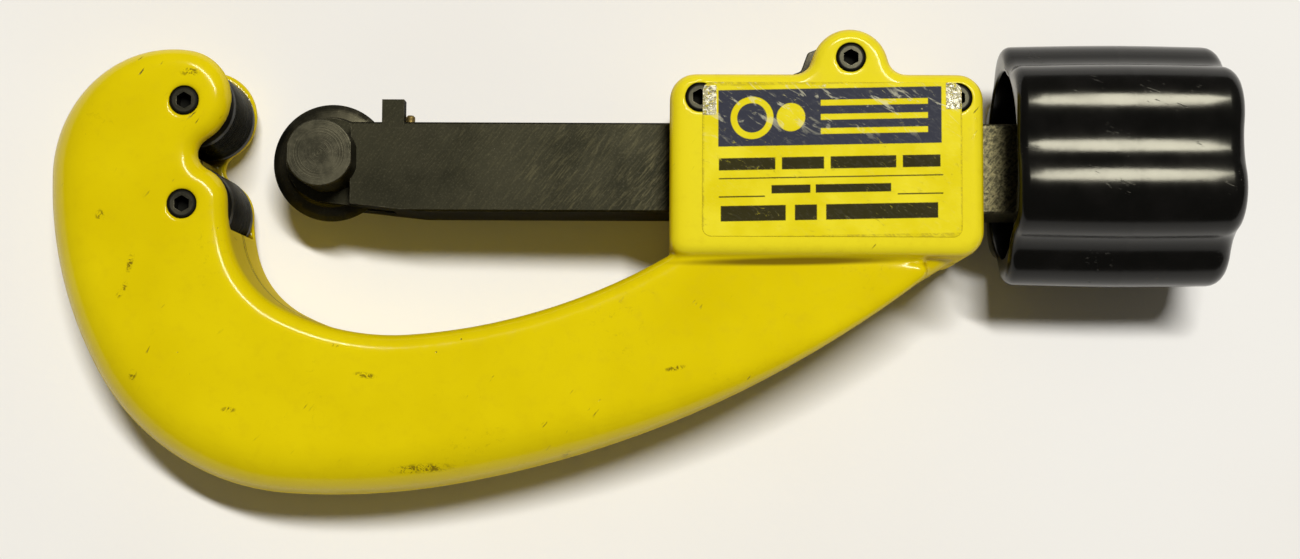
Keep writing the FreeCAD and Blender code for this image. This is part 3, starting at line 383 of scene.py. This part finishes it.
def ground_lines(steel):
    """Fine diagonal grinding lines, plainer toward the housing, and small rubbed spots past it."""
    coarse = steel.noise(0.34, detail=2, roughness=0.6, stretch=(1, 9, 9), turn=(0, 0, 38))
    fine = steel.noise(0.2, detail=2, roughness=0.6, stretch=(1, 12, 12), turn=(0, 0, 40))
    lines = steel.spread(steel.times(steel.plus(coarse, fine), 0.5), 0.44, 0.66)
    patches = steel.spread(steel.noise(9, detail=3), 0.35, 0.7, 0.4, 1.0)
    strength = steel.times(steel.spread(steel.axis("X"), 30, 72, 0.04, 0.26), patches)
    past = steel.spread(steel.axis("X"), HOUSING_RIGHT - 1, HOUSING_RIGHT + 1)
    spots = steel.spread(steel.noise(0.7, detail=3, roughness=0.7), 0.40, 0.66)
    return steel.most(lines, steel.times(spots, past)), steel.most(strength, steel.times(past, 0.6))


def turned_lines(x, y):
    """Fine rings about an upright axis at (x, y), as left by a lathe."""
    def lines(steel):
        spaced = steel.add("ShaderNodeCombineXYZ")
        steel.feed(spaced.inputs[0], steel.from_centre(x, y))
        steel.feed(spaced.inputs[1], steel.axis("Z"))
        # these coordinates are in millimetres already
        rings = steel.noise(0.22 / MM, detail=2, place=spaced.outputs[0])
        return steel.spread(rings, 0.45, 0.75), 0.05
    return lines


def shaded_socket(x, y, front):
    """Painted shade: black inside a pin's socket and round the pin's edge, in the gap to its hole."""
    def mask(steel):
        inside = steel.spread(steel.axis("Z"), front - 0.35, front - 0.15, 1.0, 0.0)
        edge = steel.spread(steel.from_centre(x, y), PIN_FACE_RADIUS - 0.17, PIN_FACE_RADIUS, 0.0, 0.85)
        return steel.most(inside, edge)
    return mask


def dark_ends(length):
    """Black near both ends of a roller, on its chamfers and beside them: old oil, and painted shade in the
    slots against the cheeks.
    """
    def mask(steel):
        along = steel.math("ABSOLUTE", steel.axis("Z"))
        return steel.spread(along, length / 2 - 2.8, length / 2 - 1.8, 0.0, 0.85)
    return mask


def bright_steel(name, tint=rgb(176, 174, 168)):
    """Bare steel with a film of old oil darkening its edges."""
    steel = Finish(name, Metallic=1.0)
    cloud = steel.noise(3, detail=4, roughness=0.65)
    colour = steel.blend(steel.spread(cloud, 0.35, 0.75), tint, rgb(120, 114, 104))
    steel.give("Base Color", steel.over(colour, steel.edges(0.2, 0.03, 0.3), 0.6, rgb(62, 54, 42)))
    steel.give("Roughness", steel.spread(cloud, 0.3, 0.8, 0.26, 0.46))
    steel.give("Normal", steel.bump(steel.noise(0.3, detail=2, stretch=(8, 1, 1)), 0.004))
    return steel.material


def thread_steel():
    """Bright steel with the turned thread of the spindle: right-handed, with blunt crests."""
    steel = Finish("thread_steel", Metallic=1.0)
    turn = steel.math("ARCTAN2", steel.axis("Z"), steel.axis("Y"))
    turn = steel.math("DIVIDE", turn, 2 * math.pi)
    along = steel.math("SUBTRACT", steel.math("DIVIDE", steel.axis("X"), THREAD_PITCH), turn)
    phase = steel.math("ABSOLUTE", steel.math("SUBTRACT", steel.math("FRACT", along), 0.5))
    threaded = steel.spread(steel.axis("X"), THREAD_END - 0.6, THREAD_END - 0.2, 1.0, 0.0)
    groove = steel.times(steel.spread(phase, 0.18, 0.32), threaded)
    # painted shade: the thread's grooves are coloured dark
    steel.give("Base Color", steel.blend(steel.times(groove, 0.6), rgb(150, 147, 140), rgb(44, 40, 34)))
    steel.give("Roughness", steel.spread(steel.noise(1.2, detail=3), 0.3, 0.7, 0.24, 0.42))
    steel.give("Normal", steel.bump(steel.inverse(groove), 0.6))
    return steel.material


def brass():
    """Old brass, dull and brown in patches."""
    metal = Finish("brass", Metallic=1.0)
    cloud = metal.spread(metal.noise(0.8, detail=3), 0.3, 0.7)
    metal.give("Base Color", metal.blend(cloud, rgb(138, 120, 76), rgb(98, 84, 54)))
    metal.give("Roughness", metal.plus(metal.times(cloud, 0.15), 0.5))
    metal.give("Normal", metal.bump(metal.noise(0.25), 0.004))
    return metal.material


def black_plastic():
    """Glossy moulded plastic with handling marks, rubbed rims and a few short scratches."""
    plastic = Finish("black_plastic", IOR=1.5, Specular_IOR_Level=0.28)
    haze = plastic.noise(6, detail=4, roughness=0.6)
    colour = plastic.blend(plastic.spread(haze, 0.35, 0.75), rgb(9, 9, 8), rgb(16, 15, 14))
    handled = plastic.spread(plastic.noise(2.5, detail=3), 0.45, 0.65)
    rubbed = plastic.times(plastic.edges(0.5, 0.05, 0.3), handled)
    colour = plastic.over(colour, rubbed, 0.35, rgb(86, 82, 72))
    scratches = plastic.noise(0.28, detail=2, stretch=(14, 1, 1), turn=(18, 0, 24), distortion=0.5)
    knocked = plastic.spread(plastic.noise(6.5, detail=2, shift=(1.9, 6.2, 3.3)), 0.60, 0.68)
    knocked = plastic.most(knocked, plastic.patch(144.5, -5.6, 3.4, 1.5, 22))
    scratches = plastic.times(plastic.spread(scratches, 0.62, 0.70), knocked)
    marks = plastic.most(scratches, plastic.specks(1.4, 0.05, radius=0.16))
    plastic.give("Base Color", plastic.over(colour, marks, 0.4, rgb(70, 67, 60)))
    rough = plastic.spread(haze, 0.3, 0.8, 0.16, 0.23)
    plastic.give("Roughness", plastic.plus(rough, plastic.times(marks, 0.35)))
    waves = plastic.bump(plastic.noise(1.1, detail=2), 0.006)
    plastic.give("Normal", plastic.bump(plastic.inverse(marks), 0.02, waves))
    return plastic.material


class Print:
    """Soft-edged shapes printed on the sticker, which sits a little askew."""

    SOFT = 0.09     # half the width over which an edge fades, in millimetres

    def __init__(self, film):
        self.film = film
        self.x = film.axis("X")
        slope = film.times(film.math("SUBTRACT", self.x, 100.7), 0.022)
        self.y = film.math("SUBTRACT", film.axis("Y"), slope)

    def above(self, source, edge):
        """1 where the source is past the edge, and below() is 1 where it is short of it."""
        return self.film.spread(source, edge - self.SOFT, edge + self.SOFT)

    def below(self, source, edge):
        return self.film.spread(source, edge - self.SOFT, edge + self.SOFT, 1.0, 0.0)

    def bar(self, left, right, low, high):
        across = self.film.times(self.above(self.x, left), self.below(self.x, right))
        return self.film.times(across, self.film.times(self.above(self.y, low), self.below(self.y, high)))

    def ring(self, centre_x, centre_y, outer, inner):
        away = self.film.add("ShaderNodeVectorMath", operation="LENGTH")
        place = self.film.add("ShaderNodeCombineXYZ")
        self.film.feed(place.inputs[0], self.film.math("SUBTRACT", self.x, centre_x))
        self.film.feed(place.inputs[1], self.film.math("SUBTRACT", self.y, centre_y))
        self.film.feed(away.inputs[0], place.outputs[0])
        reach = away.outputs["Value"]
        return self.film.times(self.below(reach, outer), self.above(reach, inner))


# the sticker's short bars and thin rules, row by row: the ends of each, and the row's low and high edge
PRINTED_ROWS = [
    (((83.3, 92.0), (93.0, 99.5), (100.5, 110.6), (111.6, 117.4)), -2.5, -0.6),
    (((83.3, 117.8),), -3.86, -3.68),
    (((83.3, 90.4), (110.8, 117.8)), -6.7, -6.5),
    (((91.4, 97.4), (98.2, 109.8)), -6.2, -4.9),
    (((83.6, 93.6), (95.0, 98.4), (99.8, 117.0)), -10.4, -8.0),
]


def printed_film():
    """A clear sticker on the paint: a dark band with a plain pipe-and-wheel sign, short bars, rules."""
    film = Finish("printed_film", IOR=1.45, Specular_IOR_Level=0.15)
    design = Print(film)
    band = design.bar(83.2, 117.6, 1.2, 10.0)
    signs = [design.ring(88.4, 5.6, 3.3, 2.3), design.ring(94.4, 5.6, 2.2, 0.0)]
    signs += [design.bar(99.0, 115.5, low, low + 0.9) for low in (2.9, 5.1, 7.3)]
    for sign in signs:
        band = film.times(band, film.inverse(sign))
    ink = band
    for bars, low, high in PRINTED_ROWS:
        for left, right in bars:
            ink = film.most(ink, design.bar(left, right, low, high))
    rubs = film.noise(0.7, detail=4, roughness=0.7, stretch=(2.4, 1, 1), turn=(0, 0, 30), distortion=1.2)
    rubbed = film.times(film.spread(rubs, 0.60, 0.72), film.spread(film.noise(4.5, detail=2), 0.42, 0.62))
    ink = film.times(ink, film.inverse(film.times(rubbed, 0.6)))
    ink_colour = film.blend(band, rgb(28, 27, 24), rgb(38, 44, 70))
    colour = film.spread(film.noise(6, detail=3), 0.35, 0.7)
    colour = film.blend(colour, rgb(226, 208, 24), rgb(236, 220, 44))
    colour = film.over(colour, ink, 0.97, ink_colour)
    # where the film bridges a pin's recess it has gone silvery
    silver = film.most(design.bar(80.6, 82.9, 6.2, 10.8), design.bar(118.3, 121.0, 6.4, 10.8))
    crumple = film.noise(0.45, detail=4, roughness=0.8, distortion=0.7)
    silver = film.times(silver, film.spread(crumple, 0.36, 0.48, 0.35, 1.0))
    silver_colour = film.blend(film.spread(crumple, 0.45, 0.6), rgb(120, 116, 96), rgb(226, 222, 200))
    colour = film.blend(silver, colour, silver_colour)
    # rubs and lifted creases in the film, mostly along its top: the rubs whitened by wear, and painted
    # glare where creases and rubs catch the light
    white = film.times(rubbed, film.spread(design.y, 2.5, 8.5))
    colour = film.over(colour, white, 0.7, rgb(236, 232, 196))
    crease_glare = film.noise(1.3, detail=4, roughness=0.65, stretch=(3.2, 1, 1), turn=(0, 0, 32),
                         distortion=0.8)
    crease_glare = film.times(film.spread(crease_glare, 0.56, 0.66), film.spread(design.y, 0.0, 7.0))
    colour = film.over(colour, crease_glare, 0.5, rgb(222, 218, 186))
    rim = film.inverse(design.bar(81.05, 120.5, -12.75, 10.65))
    colour = film.over(colour, rim, film.spread(rubs, 0.4, 0.6, 0.1, 0.5), rgb(150, 128, 30))
    film.give("Base Color", colour)
    film.give("Roughness", film.spread(rubs, 0.4, 0.75, 0.16, 0.4))
    film.give("Metallic", film.times(silver, 0.35))
    creases = film.bump(film.noise(2.6, detail=3, roughness=0.55, distortion=0.9), 0.05)
    film.give("Normal", film.bump(film.plus(film.times(silver, crumple), rubbed), 0.05, creases))
    return film.material


def floor_paper():
    """Matt off-white paper, a little uneven in tone."""
    paper = Finish("floor_paper", IOR=1.4)
    cloud = paper.noise(120, detail=3)
    shade = paper.spread(cloud, 0.3, 0.7)
    paper.give("Base Color", paper.blend(shade, rgb(236, 233, 227), rgb(240, 238, 233)))
    paper.give("Roughness", paper.spread(cloud, 0.2, 0.8, 0.85, 0.95))
    paper.give("Normal", paper.bump(paper.noise(1.5, detail=4), 0.02))
    return paper.material


# ---------------------------------------------------------------- geometry helpers

def new_piece(name, mesh, material, body, slot, *nodes):
    """A piece that rides on a body and stands for the given CAD nodes."""
    piece = bpy.data.objects.new(name, mesh)
    bpy.context.scene.collection.objects.link(piece)
    mesh.materials.clear()
    mesh.materials.append(material)
    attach(piece, body)
    if nodes:
        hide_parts(*nodes)
    return piece


def applied(mesh, modifiers):
    """The mesh after a list of (kind, settings) modifiers, as a new mesh."""
    holder = bpy.data.objects.new("holder", mesh)
    bpy.context.scene.collection.objects.link(holder)
    for kind, settings in modifiers:
        modifier = holder.modifiers.new(kind, kind)
        for key, setting in settings.items():
            setattr(modifier, key, setting)
    bpy.context.view_layer.update()
    result = bpy.data.meshes.new_from_object(holder.evaluated_get(bpy.context.evaluated_depsgraph_get()))
    bpy.data.objects.remove(holder)
    return result


def cad_mesh(node):
    """A copy of a CAD node's mesh, with its split corners joined and flat faces made whole."""
    mesh = NODES[node].data.copy()
    work = bmesh.new()
    work.from_mesh(mesh)
    bmesh.ops.remove_doubles(work, verts=work.verts, dist=0.002 * MM)
    bmesh.ops.dissolve_limit(work, angle_limit=math.radians(0.6), verts=work.verts, edges=work.edges)
    bmesh.ops.recalc_face_normals(work, faces=work.faces)
    work.to_mesh(mesh)
    work.free()
    # the normals that came with the CAD mesh are dropped
    mesh.normals_split_custom_set([(0, 0, 0)] * len(mesh.loops))
    return mesh


def smoothed(mesh, angle):
    """Smooth shading, with the edges sharper than the angle in degrees left crisp."""
    mesh.shade_smooth()
    mesh.set_sharp_from_angle(angle=math.radians(angle))
    return mesh


def softened(node, width, material, slot):
    """A CAD node with its corners broken by a small bevel, as a real machined part has.
    The shading leaves its large faces flat and turns only in the bevels."""
    bevel = {"width": width * MM, "segments": 3, "limit_method": "ANGLE",
             "angle_limit": math.radians(30), "harden_normals": False, "miter_outer": "MITER_ARC"}
    weighted = {"mode": "FACE_AREA", "weight": 100, "keep_sharp": True}
    mesh = smoothed(applied(cad_mesh(node), [("BEVEL", bevel)]), 35)
    mesh = applied(mesh, [("WEIGHTED_NORMAL", weighted)])
    return new_piece(node + "_finished", mesh, material, NODES[node]["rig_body"], slot, node)


# ---------------------------------------------------------------- the casting

PARTING_GROOVE_HALF_WIDTH, PARTING_GROOVE_DEPTH = 0.55, 0.3


def with_parting_line(mesh):
    """Cuts a shallow groove round the walls, where the mould's two halves met."""
    work = bmesh.new()
    work.from_mesh(mesh)
    for height in (-PARTING_GROOVE_HALF_WIDTH, 0.0, PARTING_GROOVE_HALF_WIDTH):
        everything = work.verts[:] + work.edges[:] + work.faces[:]
        bmesh.ops.bisect_plane(work, geom=everything, dist=0.001 * MM,
                               plane_co=(0, 0, height * MM), plane_no=(0, 0, 1))
    # only the middle row of corners sinks, and only on upright walls
    for vertex in work.verts:
        if abs(vertex.co.z) < 0.05 * MM and abs(vertex.normal.z) < 0.3:
            vertex.co -= vertex.normal * PARTING_GROOVE_DEPTH * MM
    work.to_mesh(mesh)
    work.free()


def pin_holes():
    """A mesh of upright rods where the pins pass through the casting."""
    work = bmesh.new()
    for x, y in PIN_PLACES:
        radius = PIN_HOLE_RADIUS * MM
        bmesh.ops.create_cone(work, cap_ends=True, segments=64, radius1=radius, radius2=radius,
                              depth=40 * MM, matrix=Matrix.Translation(Vector((x, y, 0)) * MM))
    mesh = bpy.data.meshes.new("holes")
    work.to_mesh(mesh)
    work.free()
    return mesh


def casting(material):
    """The frame casting, softened as sand and paint leave it, with crisp machined holes."""
    voxel = {"mode": "VOXEL", "voxel_size": 0.45 * MM, "use_smooth_shade": True}
    smooth = {"factor": 0.5, "iterations": 5}
    mesh = applied(cad_mesh("frame_casting"), [("REMESH", voxel), ("SMOOTH", smooth)])
    with_parting_line(mesh)
    holes = bpy.data.objects.new("holes", pin_holes())
    bpy.context.scene.collection.objects.link(holes)
    difference = {"operation": "DIFFERENCE", "object": holes, "solver": "EXACT"}
    mesh = smoothed(applied(mesh, [("BOOLEAN", difference)]), 50)
    bpy.data.objects.remove(holes)
    return new_piece("casting", mesh, material, "frame", "yellow_paint", "frame_casting")


# ---------------------------------------------------------------- the knob

# places along the feed axis, radii and rounds, in millimetres
KNOB_LEFT, KNOB_RIGHT, KNOB_SEAM = 129.1, 164.2, 147.0
KNOB_RADIUS, VALLEY_RADIUS, LOBE_ROUND = 19.7, 16.9, 7.8
KNOB_BORE, KNOB_FLOOR = 15.0, 149.6
RECESS_RADIUS, RECESS_FLOOR = 6.2, 160.2
SPINDLE_HOLE = 3.7
LEFT_ROUND, RIGHT_ROUND, RIM_ROUND = 1.5, 2.8, 0.5
DRAFT, SEAM_RIDGE = 0.3, 0.012
# the lobes are counted from a crest at this angle, in degrees, with so many steps to an arc
LOBES, FIRST_LOBE, ARC_STEPS = 6, 55.0, 14


def knob_outline():
    """Points and outward normals round the lobes, at the knob's full size."""
    half = math.pi / LOBES
    reach = KNOB_RADIUS - LOBE_ROUND
    # the radius at which a valley's arc runs smoothly into the lobes on both sides
    valley_round = ((reach ** 2 + VALLEY_RADIUS ** 2 - 2 * reach * VALLEY_RADIUS * math.cos(half)
                     - LOBE_ROUND ** 2) / (2 * (LOBE_ROUND + reach * math.cos(half) - VALLEY_RADIUS)))
    outer = VALLEY_RADIUS + valley_round
    # half the angle that each arc turns through
    swing = math.atan2(outer * math.sin(half), outer * math.cos(half) - reach)
    points = []
    for lobe in range(LOBES):
        crest = math.radians(FIRST_LOBE) + 2 * half * lobe
        for i in range(ARC_STEPS):
            turn = swing * (2 * i / ARC_STEPS - 1)
            normal = Vector((math.cos(crest + turn), math.sin(crest + turn)))
            centre = Vector((math.cos(crest), math.sin(crest))) * reach
            points.append((centre + normal * LOBE_ROUND, normal))
        middle = crest + half
        dip = swing - half
        for i in range(ARC_STEPS):
            turn = dip * (1 - 2 * i / ARC_STEPS)
            normal = Vector((math.cos(middle + turn), math.sin(middle + turn)))
            centre = Vector((math.cos(middle), math.sin(middle))) * outer
            points.append((centre - normal * valley_round, normal))
    return points


def knob(material):
    """Lobed outside with draft both ways from a seam, rounded rims, a deep bore and a screw recess."""
    outline = knob_outline()

    def lobed(x, inset):
        draft = DRAFT * (abs(x - KNOB_SEAM) / (KNOB_RIGHT - KNOB_SEAM)) ** 1.6
        return [(x, *(point - normal * (inset + draft))) for point, normal in outline]

    def round_ring(x, radius):
        return [(x, *(point.normalized() * radius)) for point, normal in outline]

    def quarter(radius, steps):
        """Steps round a quarter circle: what is left of one side, and how far the other has grown."""
        for step in range(steps + 1):
            turn = math.pi / 2 * step / steps
            yield radius * (1 - math.sin(turn)), radius * (1 - math.cos(turn))

    # from the bore's floor out over the left rim, along the lobes and in over the right rim
    rings = [round_ring(KNOB_FLOOR, SPINDLE_HOLE), round_ring(KNOB_FLOOR, KNOB_BORE - 1.0)]
    rings += [round_ring(KNOB_FLOOR - 0.3, KNOB_BORE - 0.3), round_ring(KNOB_FLOOR - 1, KNOB_BORE)]
    rings += [round_ring(x, KNOB_BORE) for x in (144, 138, 133)]
    rings += [round_ring(KNOB_LEFT + near, KNOB_BORE + far) for near, far in quarter(RIM_ROUND, 3)]
    rings += [lobed(KNOB_LEFT + far, near) for near, far in quarter(LEFT_ROUND, 6)]
    for x in (133, 136, 139, 142, 145, 146.8, KNOB_SEAM, 147.2, 149, 152, 155, 158):
        rings.append(lobed(x, -SEAM_RIDGE if x == KNOB_SEAM else 0.0))
    rings += [lobed(KNOB_RIGHT - near, far) for near, far in quarter(RIGHT_ROUND, 6)]
    rings += [round_ring(KNOB_RIGHT - far, RECESS_RADIUS + near) for near, far in quarter(RIM_ROUND, 2)]
    rings += [round_ring(RECESS_FLOOR + 0.3, RECESS_RADIUS), round_ring(RECESS_FLOOR, RECESS_RADIUS - 0.3)]
    rings.append(round_ring(RECESS_FLOOR, SPINDLE_HOLE))

    work = bmesh.new()
    verts = [[work.verts.new(Vector(corner) * MM) for corner in ring] for ring in rings]
    count = len(outline)
    for k in range(len(rings)):
        ring, following = verts[k], verts[(k + 1) % len(rings)]
        for i in range(count):
            j = (i + 1) % count
            work.faces.new((ring[i], ring[j], following[j], following[i]))
    bmesh.ops.recalc_face_normals(work, faces=work.faces)
    mesh = bpy.data.meshes.new("knob")
    work.to_mesh(mesh)
    work.free()
    smoothed(mesh, 40)
    return new_piece("feed_knob_moulding", mesh, material, "feed_knob", "black_plastic", "knob")


# ---------------------------------------------------------------- build

casting(yellow_paint())

bar_steel = blackened_steel("bar_steel", rgb(37, 37, 31), rgb(52, 51, 43), grain=ground_lines, coarse=2.2)
softened("slide_bar", 0.15, bar_steel, "black_steel")

axle_steel = blackened_steel("axle_steel", rgb(64, 63, 56), rgb(84, 82, 73), rough=0.44,
                             grain=turned_lines(*WHEEL_AXIS), coarse=0.4)
softened("wheel_axle", 0.12, axle_steel, "dark_steel")

wheel_steel = blackened_steel("wheel_steel", rgb(48, 47, 41), rgb(66, 64, 56), rough=0.42,
                              grain=turned_lines(*WHEEL_AXIS), wear=0.8)
softened("cutter_wheel", 0.05, wheel_steel, "wheel_steel")

for side, axis in ROLLER_AXES.items():
    roller_steel = blackened_steel(side + "_roller_steel", rgb(13, 12, 11), rgb(44, 42, 37), rough=0.3,
                                   grain=turned_lines(*axis), metal=1.0,
                                   oil_and_shade=dark_ends(ROLLER_LENGTH), grazing=0.3)
    softened(side + "_roller", 0.2, roller_steel, "roller_steel")

for node in PINS:
    # painted shade in each pin's socket and in the gap round it
    dirt = shaded_socket(*middle_of(node), front=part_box(node)[1].z / MM)
    pin_steel = blackened_steel(node + "_steel", rgb(50, 50, 45), rgb(76, 74, 66), wear=0.9, oil_and_shade=dirt)
    softened(node, 0.08, pin_steel, "dark_steel")

lever_steel = blackened_steel("lever_steel", rgb(46, 45, 42), rgb(66, 64, 58), rough=0.38, wear=0.8)
softened("half_nut_lever", 0.2, lever_steel, "dark_steel")
softened("knob_screw", 0.12, lever_steel, "dark_steel")
softened("buffer_pin", 0.05, brass(), "brass")

knob(black_plastic())

# these keep their CAD shape and take only a finish
oiled_steel = bright_steel("bright_steel")
FINISHED = {
    oiled_steel: ("upper_roller_needles", "lower_roller_needles", "wheel_needles", "guide_sleeve_left",
                  "guide_sleeve_right", "spindle_thrust_washer", "knob_washer"),
    thread_steel(): ("spindle",),
    lever_steel: ("spindle_retaining_pin",),
    bright_steel("spring_steel", rgb(108, 104, 98)): ("axle_retaining_ring",),
    printed_film(): ("label",),
}
for material, nodes in FINISHED.items():
    for node in nodes:
        NODES[node].data.materials.clear()
        NODES[node].data.materials.append(material)

wire_steel = bright_steel("spring_wire", rgb(120, 116, 108))
coil = smoothed(bpy.data.meshes.new_from_object(NODES["half_nut_spring"]), 60)
spring = new_piece("half_nut_coil", coil, wire_steel, "frame", "spring_steel", "half_nut_spring")
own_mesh(spring)


# ---------------------------------------------------------------- floor, light and camera

# where the tool lies on the floor: two places on the bow's back, and one along the knob
BOW_BACK = -13.05
BOW_TOUCHES = ((-20, -18), (32, -51))
KNOB_TOUCHES = KNOB_LEFT + 2


def resting_plane():
    """A point and the normal of the plane that touches the bow's back twice and the knob from below."""
    left, belly = (Vector((x, y, BOW_BACK)) * MM for x, y in BOW_TOUCHES)
    along = (belly - left).normalized()
    across = Vector((-along.y, along.x, 0))
    knob_end = Vector((KNOB_TOUCHES, 0, 0)) * MM

    # the plane is tilted until the knob no longer sinks into it
    low, high = 0.0, math.radians(8)
    for _ in range(30):
        tilt = (low + high) / 2
        slope = across * math.cos(tilt) - Vector((0, 0, 1)) * math.sin(tilt)
        normal = along.cross(slope)
        if (knob_end - left).dot(normal) < (KNOB_RADIUS - DRAFT) * MM * math.sqrt(1 - normal.x ** 2):
            low = tilt
        else:
            high = tilt
    return left, normal


def resting_floor():
    """A pale floor under the tool, which lies on its knob and on the back of the bow."""
    point, normal = resting_plane()
    middle = Vector((70, -15, 0)) * MM
    middle.z = point.z - ((middle - point).x * normal.x + (middle - point).y * normal.y) / normal.z
    matrix = Matrix.Translation(middle) @ normal.to_track_quat("Z", "Y").to_matrix().to_4x4()
    work = bmesh.new()
    bmesh.ops.create_grid(work, x_segments=8, y_segments=8, size=3.0, matrix=matrix)
    mesh = bpy.data.meshes.new("floor")
    work.to_mesh(mesh)
    work.free()
    mesh.materials.append(floor_paper())
    floor = bpy.data.objects.new("floor", mesh)
    bpy.context.scene.collection.objects.link(floor)


LIT_PLACE = Vector((0.07, -0.01, 0))


def area_light(name, place, width, height, power, colour):
    """A rectangular light in metres and watts, facing the tool."""
    data = bpy.data.lights.new(name, "AREA")
    data.shape = "RECTANGLE"
    data.size = width
    data.size_y = height
    data.energy = power
    data.color = colour
    light = bpy.data.objects.new(name, data)
    light.location = place
    facing = (LIT_PLACE - Vector(place)).normalized()
    light.rotation_euler = facing.to_track_quat("-Z", "Y").to_euler()
    bpy.context.scene.collection.objects.link(light)
    return light


def shine_on(light, chosen):
    """The light is only reflected, and only by the pieces for which chosen(name) is true."""
    light.visible_diffuse = False
    pieces = bpy.data.collections.new(light.name + "_pieces")
    for piece in bpy.context.scene.objects:
        if piece.type == "MESH" and chosen(piece.name.split(".")[0]):
            pieces.objects.link(piece)
    light.light_linking.receiver_collection = pieces


resting_floor()

# a long ceiling lamp casts the shadows
lamp = area_light("lamp", (0.33, 0.54, 2.0), 0.68, 0.11, 43, (1.0, 0.995, 0.985))
lamp.visible_glossy = False
# a narrow tube draws the bright line along the paint's edges, and a screen the bands on the dark parts
tube = area_light("tube", (0.28, 0.46, 0.95), 0.80, 0.06, 12, (1.0, 0.97, 0.84))
shine_on(tube, lambda name: name in ("casting", "label"))
screen = area_light("screen", (0.38, 0.46, 0.95), 0.34, 0.46, 16, (1.0, 0.955, 0.74))
shine_on(screen, lambda name: name not in ("casting", "label", "floor"))

world = bpy.data.worlds.new("room")
world.use_nodes = True
room_light = world.node_tree.nodes["Background"].inputs
room_light["Color"].default_value = (1.0, 0.92, 0.76, 1)
room_light["Strength"].default_value = 0.09
bpy.context.scene.world = world
bpy.context.scene.view_settings.view_transform = "Standard"

camera_data = bpy.data.cameras.new("camera")
camera_data.lens = 55.88
camera_data.sensor_width = 36
camera_data.clip_start = 0.01
camera = bpy.data.objects.new("camera", camera_data)
camera.location = (0.0762, -0.0432, 0.3233)
camera.rotation_euler = Euler([math.radians(a) for a in (4.347, 0.611, 0.298)])
bpy.context.scene.collection.objects.link(camera)
bpy.context.scene.camera = camera
